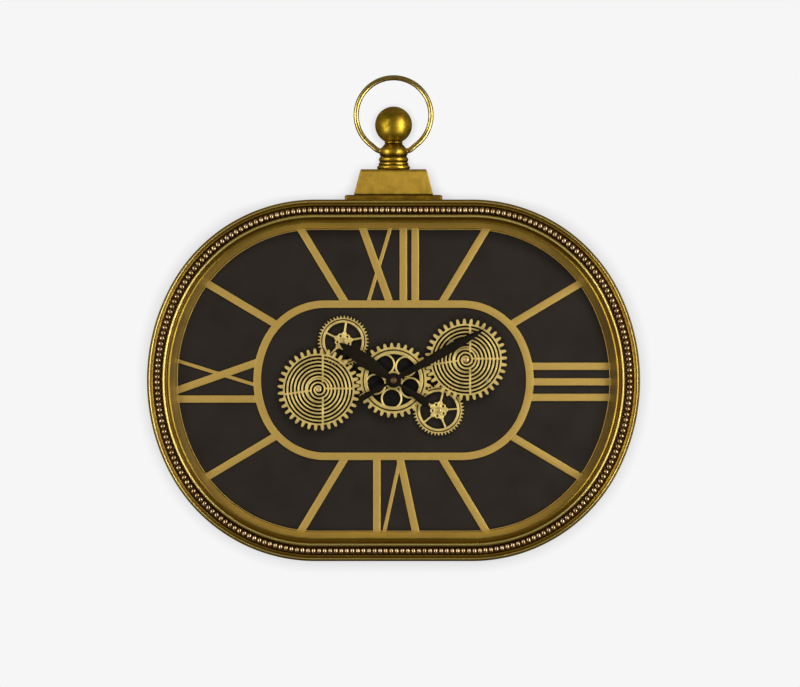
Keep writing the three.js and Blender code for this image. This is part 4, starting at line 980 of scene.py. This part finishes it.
class CLOCK_OT_numerals(ClockOperator, bpy.types.Operator):
    """Make the cut-out plate with the numerals, the hour bars, the window ring and the thin rim ring"""

    bl_idname = "gear_clock.numerals"
    bl_label = "Numerals And Dial"

    def execute(self, context):
        rings = ((WINDOW_OVAL, (0.0, WINDOW_RING_WIDTH)), (FRAME_OVAL, RIM_RING_INSETS))
        shells = [oval_band(oval, strip_section(*insets, NUMERAL_LOW, NUMERAL_HIGH, PLATE_SOFT, PLATE_FOOT))
                  for oval, insets in rings]
        for x0, y0, x1, y1, width in HOUR_BARS + TWELVE_AND_SIX + THREE_AND_NINE:
            top = NUMERAL_HIGH - STROKE_SUNK[width]
            section = bar_section(width, NUMERAL_LOW, top, PLATE_SOFT, PLATE_FOOT)
            shells.append(bar((x0, y0), (x1, y1), section))
        make_piece("numerals", shells, ["gold_numerals"], "case", ["numeral_plate"])
        dress("dial_black", "dial_board")
        return {"FINISHED"}


class CLOCK_OT_large_gears(ClockOperator, bpy.types.Operator):
    """Make the two large gears with ridged rings, a curl in the middle and four bridges"""

    bl_idname = "gear_clock.large_gears"
    bl_label = "Large Gears"

    def execute(self, context):
        ridge = bar_section(context.scene.clock_sizes.ridge_width / MM, FRONT_LOW, FRONT_HIGH, RIDGE_SOFT)
        bridge = bar_section(BRIDGE_WIDTH, FRONT_LOW, FRONT_HIGH - BRIDGE_SUNK, BRIDGE_SOFT)
        for name, turn in LARGE_GEARS.items():
            shells = [toothed_ring(turn, **LARGE_TEETH)]
            shells += [ring(radius, ridge) for radius in LARGE_RINGS]
            shells.append(curl(CURL_INNER, LARGE_RINGS[-1], RING_PITCH, turn + CURL_LAG, ridge))
            for direction, aside in BRIDGES:
                way = ways(math.radians(direction))
                across = left_of(way) * aside
                shells.append(bar(way * BRIDGE_START + across, way * BRIDGE_END + across, bridge))
            make_gear(name, "_ridged_gear", shells, "_arbor")
        return {"FINISHED"}


class CLOCK_OT_centre_gear(ClockOperator, bpy.types.Operator):
    """Make the centre gear: a toothed rim, a second rim inside it and five round windows about the hub"""

    bl_idname = "gear_clock.centre_gear"
    bl_label = "Centre Gear"

    def execute(self, context):
        shells = [toothed_ring(CENTRE_TURN, **CENTRE_TEETH), *rim_and_hub(**CENTRE_HUB)]
        border = bar_section(BORDER_WIDTH, FRONT_LOW, FRONT_HIGH - BORDER_SUNK, BORDER_SOFT)
        for angle in WINDOW_START + CENTRE_TURN + round_angles(WINDOW_COUNT):
            shells.append(ring(WINDOW_RADIUS + BORDER_OUT, border, WINDOW_REACH * ways(angle), steps=64))
        make_gear("centre", "_windowed_gear", shells, "_sleeve")
        return {"FINISHED"}


class CLOCK_OT_small_gears(ClockOperator, bpy.types.Operator):
    """Make the two fine-toothed gears with thin spokes and pierced hubs"""

    bl_idname = "gear_clock.small_gears"
    bl_label = "Fine Gears"

    def execute(self, context):
        spoke = bar_section(SPOKE_WIDTH, REAR_LOW, REAR_HIGH - SPOKE_SUNK, SPOKE_SOFT)
        eye = bar_section(EYE_WIDTH, REAR_LOW, REAR_HIGH - EYE_SUNK, EYE_SOFT)
        for name, turn in SMALL_GEARS.items():
            shells = [toothed_ring(turn, **SMALL_TEETH), *rim_and_hub(**SMALL_HUB)]
            for angle in turn + SPOKE_START + round_angles(SPOKE_COUNT):
                way = ways(angle)
                shells.append(bar(way * SPOKE_INNER, way * SPOKE_OUTER, spoke))
                between = ways(angle + TURN / SPOKE_COUNT / 2)
                for (reach, radius), direction in ((EYE_BETWEEN, between), (EYE_ON_SPOKE, way)):
                    shells.append(ring(radius, eye, reach * direction, steps=32))
            make_gear(name, "_spoked_gear", shells, "_arbor")
        return {"FINISHED"}


class CLOCK_OT_hands(ClockOperator, bpy.types.Operator):
    """Make the two hands and the nut that holds them"""

    bl_idname = "gear_clock.hands"
    bl_label = "Hands"

    def execute(self, context):
        for name, shape in HANDS.items():
            low, _ = levels(name + "_hand")
            make_piece(name + "_pointer", hand_blade(low, **shape), ["black_hands"], name + "_train",
                       [name + "_hand"])
        foot, _ = levels("hand_nut")
        nut = lathe(NUT_PROFILE + (0, foot), facing(0, 0), steps=48)
        make_piece("domed_nut", [nut], ["brown_nut"], "minute_train", ["hand_nut"])
        return {"FINISHED"}


class CLOCK_OT_finial(ClockOperator, bpy.types.Operator):
    """Make the finial: the plate, the pedestal, the turned neck and the ball"""

    bl_idname = "gear_clock.finial"
    bl_label = "Finial"

    def execute(self, context):
        plate = block_loft(PLATE_ROWS, heights("finial_plate")[0])
        make_piece("finial_step", [plate], ["dark_plate"], "case", ["finial_plate"])
        pedestal = block_loft(PEDESTAL_ROWS, heights("finial_pedestal")[0])
        make_piece("finial_block", [pedestal], ["gold_pedestal"], "case", ["finial_pedestal"])
        self.make_stem()
        self.make_ball()
        return {"FINISHED"}

    def make_stem(self):
        """The turned neck, darker the further a groove lies below its crests and where the neck is slim."""
        stem = np.concatenate([[(0, 0)], round_bead(*LOW_BEAD), STEM_ROLLS, round_bead(*HIGH_BEAD),
                               [(0, STEM_HIGH - STEM_LOW)]])
        radius = stem[:, 0]
        below = np.interp(stem[:, 1], *STEM_CRESTS.T) - radius
        slim = np.clip((SLIM_RADIUS - radius) / SLIM_SPAN, 0, SLIM_DARKENING)
        shade = np.clip(np.clip(below / GROOVE_DEPTH, 0, 1) + slim, 0, 1)
        neck = lathe(stem + (0, STEM_LOW), upright(FINIAL_LEVEL), steps=96, shade=shade)
        make_piece("finial_stem", [neck], ["gold_finial"], "case", ["finial_neck"])

    def make_ball(self):
        """A ball cut flat at its seat, with painted shade: darker towards its top and its seat."""
        angle = np.linspace(math.asin((BALL_SEAT - BALL_CENTRE) / BALL_RADIUS), math.pi / 2, 48)
        profile = ways(angle) * BALL_RADIUS + (0, BALL_CENTRE)
        profile[-1, 0] = 0.0
        shade = np.clip(BALL_SHADE - np.cos(angle), 0, 1)
        ball = lathe(profile, upright(FINIAL_LEVEL), steps=96, shade=shade)
        make_piece("finial_knob", [ball], ["gold_finial"], "case", ["finial_ball"])


class CLOCK_OT_bow(ClockOperator, bpy.types.Operator):
    """Make the bow, a ring of round wire whose ends turn in to its pins"""

    bl_idname = "gear_clock.bow"
    bl_label = "Bow"

    def execute(self, context):
        angle = np.linspace(-math.pi / 2 + BOW_OPENING, 1.5 * math.pi - BOW_OPENING, 160)
        round_part = ways(angle) * BOW_RADIUS + (0, BOW_CENTRE)
        # A cubic curve from the pin, level at first, that meets the ring along its own direction
        first, second = np.array([(BEND_START, BOW_PIN_HEIGHT), (BEND_PULL, BOW_PIN_HEIGHT)])
        join = round_part[0]
        third = join - left_of(ways(angle[0])) * RING_PULL
        way = np.linspace(0, 1, 18, endpoint=False)[:, None]
        turn_in = (first * (1 - way) ** 3 + second * 3 * way * (1 - way) ** 2
                   + third * 3 * way ** 2 * (1 - way) + join * way ** 3)
        right = np.concatenate([[(x, BOW_PIN_HEIGHT) for x in PIN_STATIONS], turn_in])
        path = np.concatenate([right, round_part, right[::-1] * np.array([-1, 1])])
        bow = wire(path, context.scene.clock_sizes.bow_wire / MM, FINIAL_LEVEL)
        make_piece("bow_ring", [bow], ["bow_gold"], "bow", ["bow"])
        return {"FINISHED"}


class CLOCK_OT_works(ClockOperator, bpy.types.Operator):
    """Dress the works and the back: arbors, knob, cells, screws, housings, panel and hanger"""

    bl_idname = "gear_clock.works"
    bl_label = "Works And Back"

    def execute(self, context):
        self.make_arbors()
        self.make_cells()
        self.make_knob()
        self.make_screws()
        dress("back_board", "back_panel")
        dress("steel", "hanger_plate", "finial_stud", "finial_nut")
        dress("black_plastic", "movement_case", "movement_cover", "drive_case", "drive_cover",
              "switch_slider")
        dress("black_wheel", "centre_transfer_wheel", "left_transfer_wheel")
        dress("turned_brass", "dial_nut", "hour_tube", "minute_arbor", "centre_sleeve",
              *(name + "_bush" for name in (*LARGE_GEARS, *SMALL_GEARS)))
        return {"FINISHED"}

    def make_arbors(self):
        """Shafts with a small turned head on the front of each gear, as long as their CAD nodes."""
        head_thick = 1.2
        for name in (*LARGE_GEARS, *SMALL_GEARS):
            x, y, _ = middle(name + "_arbor")
            rear, front = levels(name + "_arbor")
            seat = front - head_thick
            profile = [(0, rear), (1.7, rear), (2.0, rear + 0.4), (2.0, seat), (3.2, seat), (3.2, seat + 0.5),
                       (2.7, front - 0.2), (2.0, front), (0.8, front - 0.15), (0, front - 0.5)]
            make_piece(name + "_pivot", [lathe(profile, facing(x, y), steps=40)], ["turned_brass"],
                       name + "_train", [name + "_arbor"])

    def make_cells(self):
        """Round cells with a rolled edge at each end and a raised cap on one."""
        for name, wrap in (("movement_battery", "cell_wrap"), ("drive_battery_1", "drive_cell_wrap"),
                           ("drive_battery_2", "drive_cell_wrap")):
            low, high = face_box(name)
            _, y, level = middle(name)
            radius = (high[1] - low[1]) / 2
            start, end = low[0], high[0]
            profile = [(0, start + 0.4), (radius - 2.2, start + 0.4), (radius - 1.6, start),
                       (radius - 0.7, start), (radius, start + 0.8), (radius, end - 2.4),
                       (radius - 0.6, end - 1.7), (radius - 1.6, end - 1.6), (2.8, end - 1.6),
                       (2.7, end - 0.3), (2.3, end), (0, end)]
            cell = lathe(profile, lengthwise(y, level), steps=48)
            make_piece(name.replace("battery", "cell"), [cell], [wrap], "case", [name])

    def make_knob(self):
        """A ribbed knob with a soft edge on its stem, whose ribs stay inside the CAD node."""
        rib_height, ribs, inside = 0.025, 24, 0.97
        low, high = face_box("setting_knob")
        x, y, _ = middle("setting_knob")
        rear, front = levels("setting_knob")
        radius = (high[0] - low[0]) / 2 * inside
        cap = [(0, rear + 0.5), (radius - 1.6, rear + 0.5), (radius - 1.1, rear), (radius - 0.5, rear + 0.1),
               (radius, rear + 0.7), (radius, rear + 5.4), (radius - 0.5, rear + 6.0), (0, rear + 6.0)]
        stem = [(0, rear + 5.0), (1.5, rear + 5.0), (1.5, front), (0, front)]
        shells = [lathe(cap, facing(x, y), steps=6 * ribs, ripple=rib_height, ripples=ribs),
                  lathe(stem, facing(x, y), steps=24)]
        make_piece("ribbed_knob", shells, ["black_plastic"], "setting_knob", ["setting_knob"])

    def make_screws(self):
        """Cross-head screws: the back's and the hanger's face the wall, the drive's face the room."""
        head_thick = 1.8
        for label, names in (("back_screws", ["back_screw_%d" % number for number in range(1, 7)]),
                             ("hanger_screws", ["hanger_screw_left", "hanger_screw_right"]),
                             ("drive_screws", ["drive_screw_1", "drive_screw_2"])):
            shells = []
            for name in names:
                low, high = face_box(name)
                x, y, _ = middle(name)
                radius = (high[0] - low[0]) / 2
                crown, root = (high[2], low[2]) if label == "drive_screws" else (low[2], high[2])
                seat = crown + math.copysign(head_thick, root - crown)
                shells.append(cross_screw(x, y, radius, seat, crown, root))
            make_piece(label, shells, ["steel"], "case", names)


class CLOCK_OT_stage(ClockOperator, bpy.types.Operator):
    """Make the wall that sweeps out into the floor, the soft lights and the camera"""

    bl_idname = "gear_clock.stage"
    bl_label = "Stage"

    def execute(self, context):
        stage = context.scene.clock_stage
        self.make_backdrop(context)
        self.make_world(context, stage.ambient)
        # Name, place, width, height and power of each light
        boxes = (("left_box", (-1.75, -1.5, -0.2), 0.9, 2.6, stage.left_power),
                 ("right_box", (1.75, -1.5, -0.2), 0.9, 2.6, stage.right_power))
        fills = (("top_fill", (0.7, -1.9, 1.9), 1.2, 0.9, stage.top_power),
                 ("low_fill", (-0.1, -2.6, -1.9), 1.0, 0.8, stage.low_power),
                 ("back_fill", (0.9, 2.2, 0.9), 1.4, 1.4, stage.back_power))
        for box in boxes:
            self.make_light(context, *box).visible_diffuse = False
        for fill in fills:
            self.make_light(context, *fill).visible_glossy = False
        camera = bpy.data.objects.new("camera", bpy.data.cameras.new("camera"))
        camera.data.lens = stage.lens
        camera.location = (VIEW_CENTRE[0], VIEW_CENTRE[1] - stage.camera_distance, VIEW_CENTRE[2])
        camera.rotation_euler = (math.pi / 2, 0, 0)
        context.scene.collection.objects.link(camera)
        context.scene.camera = camera
        context.scene.view_settings.view_transform = "Standard"
        return {"FINISHED"}

    def make_backdrop(self, context):
        """A sheet whose profile drops down the wall, turns through a quarter circle and runs forward."""
        bend = ways(np.linspace(0, math.pi / 2, 24)) * BACKDROP_BEND
        y = np.concatenate([[WALL_LEVEL], WALL_LEVEL - BACKDROP_BEND + bend[:, 0], [FLOOR_END]])
        z = np.concatenate([[WALL_TOP], FLOOR_HEIGHT + BACKDROP_BEND - bend[:, 1], [FLOOR_HEIGHT]])
        x = np.array([-BACKDROP_HALF, BACKDROP_HALF])
        points = np.stack(np.broadcast_arrays(x, y[:, None], z[:, None]), axis=2)
        mesh = bpy.data.meshes.new("backdrop")
        faces = grid_faces(len(y), len(x), False, False)
        mesh.from_pydata(points.reshape(-1, 3).tolist(), [], faces.tolist())
        mesh.shade_smooth()
        mesh.materials.append(self.make_wall_paint())
        backdrop = bpy.data.objects.new("backdrop", mesh)
        context.scene.collection.objects.link(backdrop)

    def make_wall_paint(self):
        """Pale glowing paint with a painted contact shadow: it darkens softly close to the clock, most to the
        lower left, as on a near wall.

        The painted shadow reaches less far beside the finial, which stands clear of the wall.
        It only shows from the room's side, so that the clock's back can be looked at.
        """
        paint = bpy.data.materials.new("wall_paint")
        tree = ShaderTree(paint)
        tree.nodes.remove(tree.nodes["Principled BSDF"])
        height = tree.part(tree.add("TexCoord", "Object"), "Z")
        finial_foot, shade_reach, darkest = (0.04, 0.06), (0.027, 0.018), 0.25
        lean, pale = (0.6, -0.56, 0.57), (0.922, 0.922, 0.922, 1)
        reach = tree.remap(height, finial_foot, shade_reach)
        # Painted contact shadow: occlusion darkens the glow near the clock
        painted_shadow_ao = tree.add("AmbientOcclusion", "AO", {"Normal": lean, "Distance": reach}, samples=24)
        strength = tree.remap(painted_shadow_ao, WHOLE, (darkest, 1.0))
        glow = tree.add("Emission", "Emission", {"Color": pale, "Strength": strength})
        seen_from_room = tree.math("SUBTRACT", tree.add("LightPath", "Is Camera Ray"),
                                   tree.add("NewGeometry", "Backfacing"))
        tree.end("Material Output", seen_from_room, tree.add("BsdfTransparent", "BSDF"), glow)
        return paint

    def make_world(self, context, ambient):
        """A pale room behind what is seen, and a dim one in reflections that grows lighter upwards."""
        world = bpy.data.worlds.new("room")
        tree = ShaderTree(world)
        pale = tree.nodes["Background"]
        pale.inputs["Color"].default_value = (0.92, 0.92, 0.92, 1)
        height = tree.part(tree.add("TexCoord", "Generated"), "Z")
        lowest, floor_share, ceiling_share = -0.6, 0.6, 2.2
        rise = tree.remap(height, (lowest, 1.0), (floor_share * ambient, ceiling_share * ambient))
        dim = tree.add("Background", "Background", {"Color": (1, 0.85, 0.66, 1), "Strength": rise})
        tree.end("World Output", tree.add("LightPath", "Is Camera Ray"), dim, pale.outputs["Background"])
        context.scene.world = world

    def make_light(self, context, name, spot, across, tall, power):
        """A soft box that faces the clock."""
        light = bpy.data.lights.new(name, "AREA")
        light.shape = "RECTANGLE"
        light.size, light.size_y = across, tall
        light.energy = power
        box = bpy.data.objects.new(name, light)
        box.location = spot
        x, y, z = np.array(spot) - np.array(LIGHT_CENTRE)
        tilt = math.pi / 2 - math.atan2(z, math.hypot(x, y))
        box.rotation_euler = (tilt, 0, math.atan2(y, x) + math.pi / 2)
        context.scene.collection.objects.link(box)
        return box


OPERATORS = (CLOCK_OT_finishes, CLOCK_OT_frame, CLOCK_OT_beads, CLOCK_OT_numerals, CLOCK_OT_large_gears,
             CLOCK_OT_centre_gear, CLOCK_OT_small_gears, CLOCK_OT_hands, CLOCK_OT_finial, CLOCK_OT_bow,
             CLOCK_OT_works, CLOCK_OT_stage)


class CLOCK_PT_panel(bpy.types.Panel):
    """The clock's settings and operators"""

    bl_idname = "CLOCK_PT_panel"
    bl_label = "Gear Clock"
    bl_space_type = "VIEW_3D"
    bl_region_type = "UI"
    bl_category = "Gear Clock"

    def draw(self, context):
        for group in (context.scene.clock_sizes, context.scene.clock_colours, context.scene.clock_stage):
            box = self.layout.box()
            for name in group.__annotations__:
                box.prop(group, name)
        for operator in OPERATORS:
            self.layout.operator(operator.bl_idname)


GROUPS = {"clock_sizes": ClockSizes, "clock_colours": ClockColours, "clock_stage": ClockStage}
CLASSES = (*GROUPS.values(), *OPERATORS, CLOCK_PT_panel)


def register():
    for cls in CLASSES:
        bpy.utils.register_class(cls)
    for name, group in GROUPS.items():
        setattr(bpy.types.Scene, name, bpy.props.PointerProperty(type=group))


def unregister():
    for name in GROUPS:
        delattr(bpy.types.Scene, name)
    for cls in reversed(CLASSES):
        bpy.utils.unregister_class(cls)


def main():
    register()
    for operator in OPERATORS:
        area, call = operator.bl_idname.split(".")
        getattr(getattr(bpy.ops, area), call)()


if __name__ == "__main__":
    main()
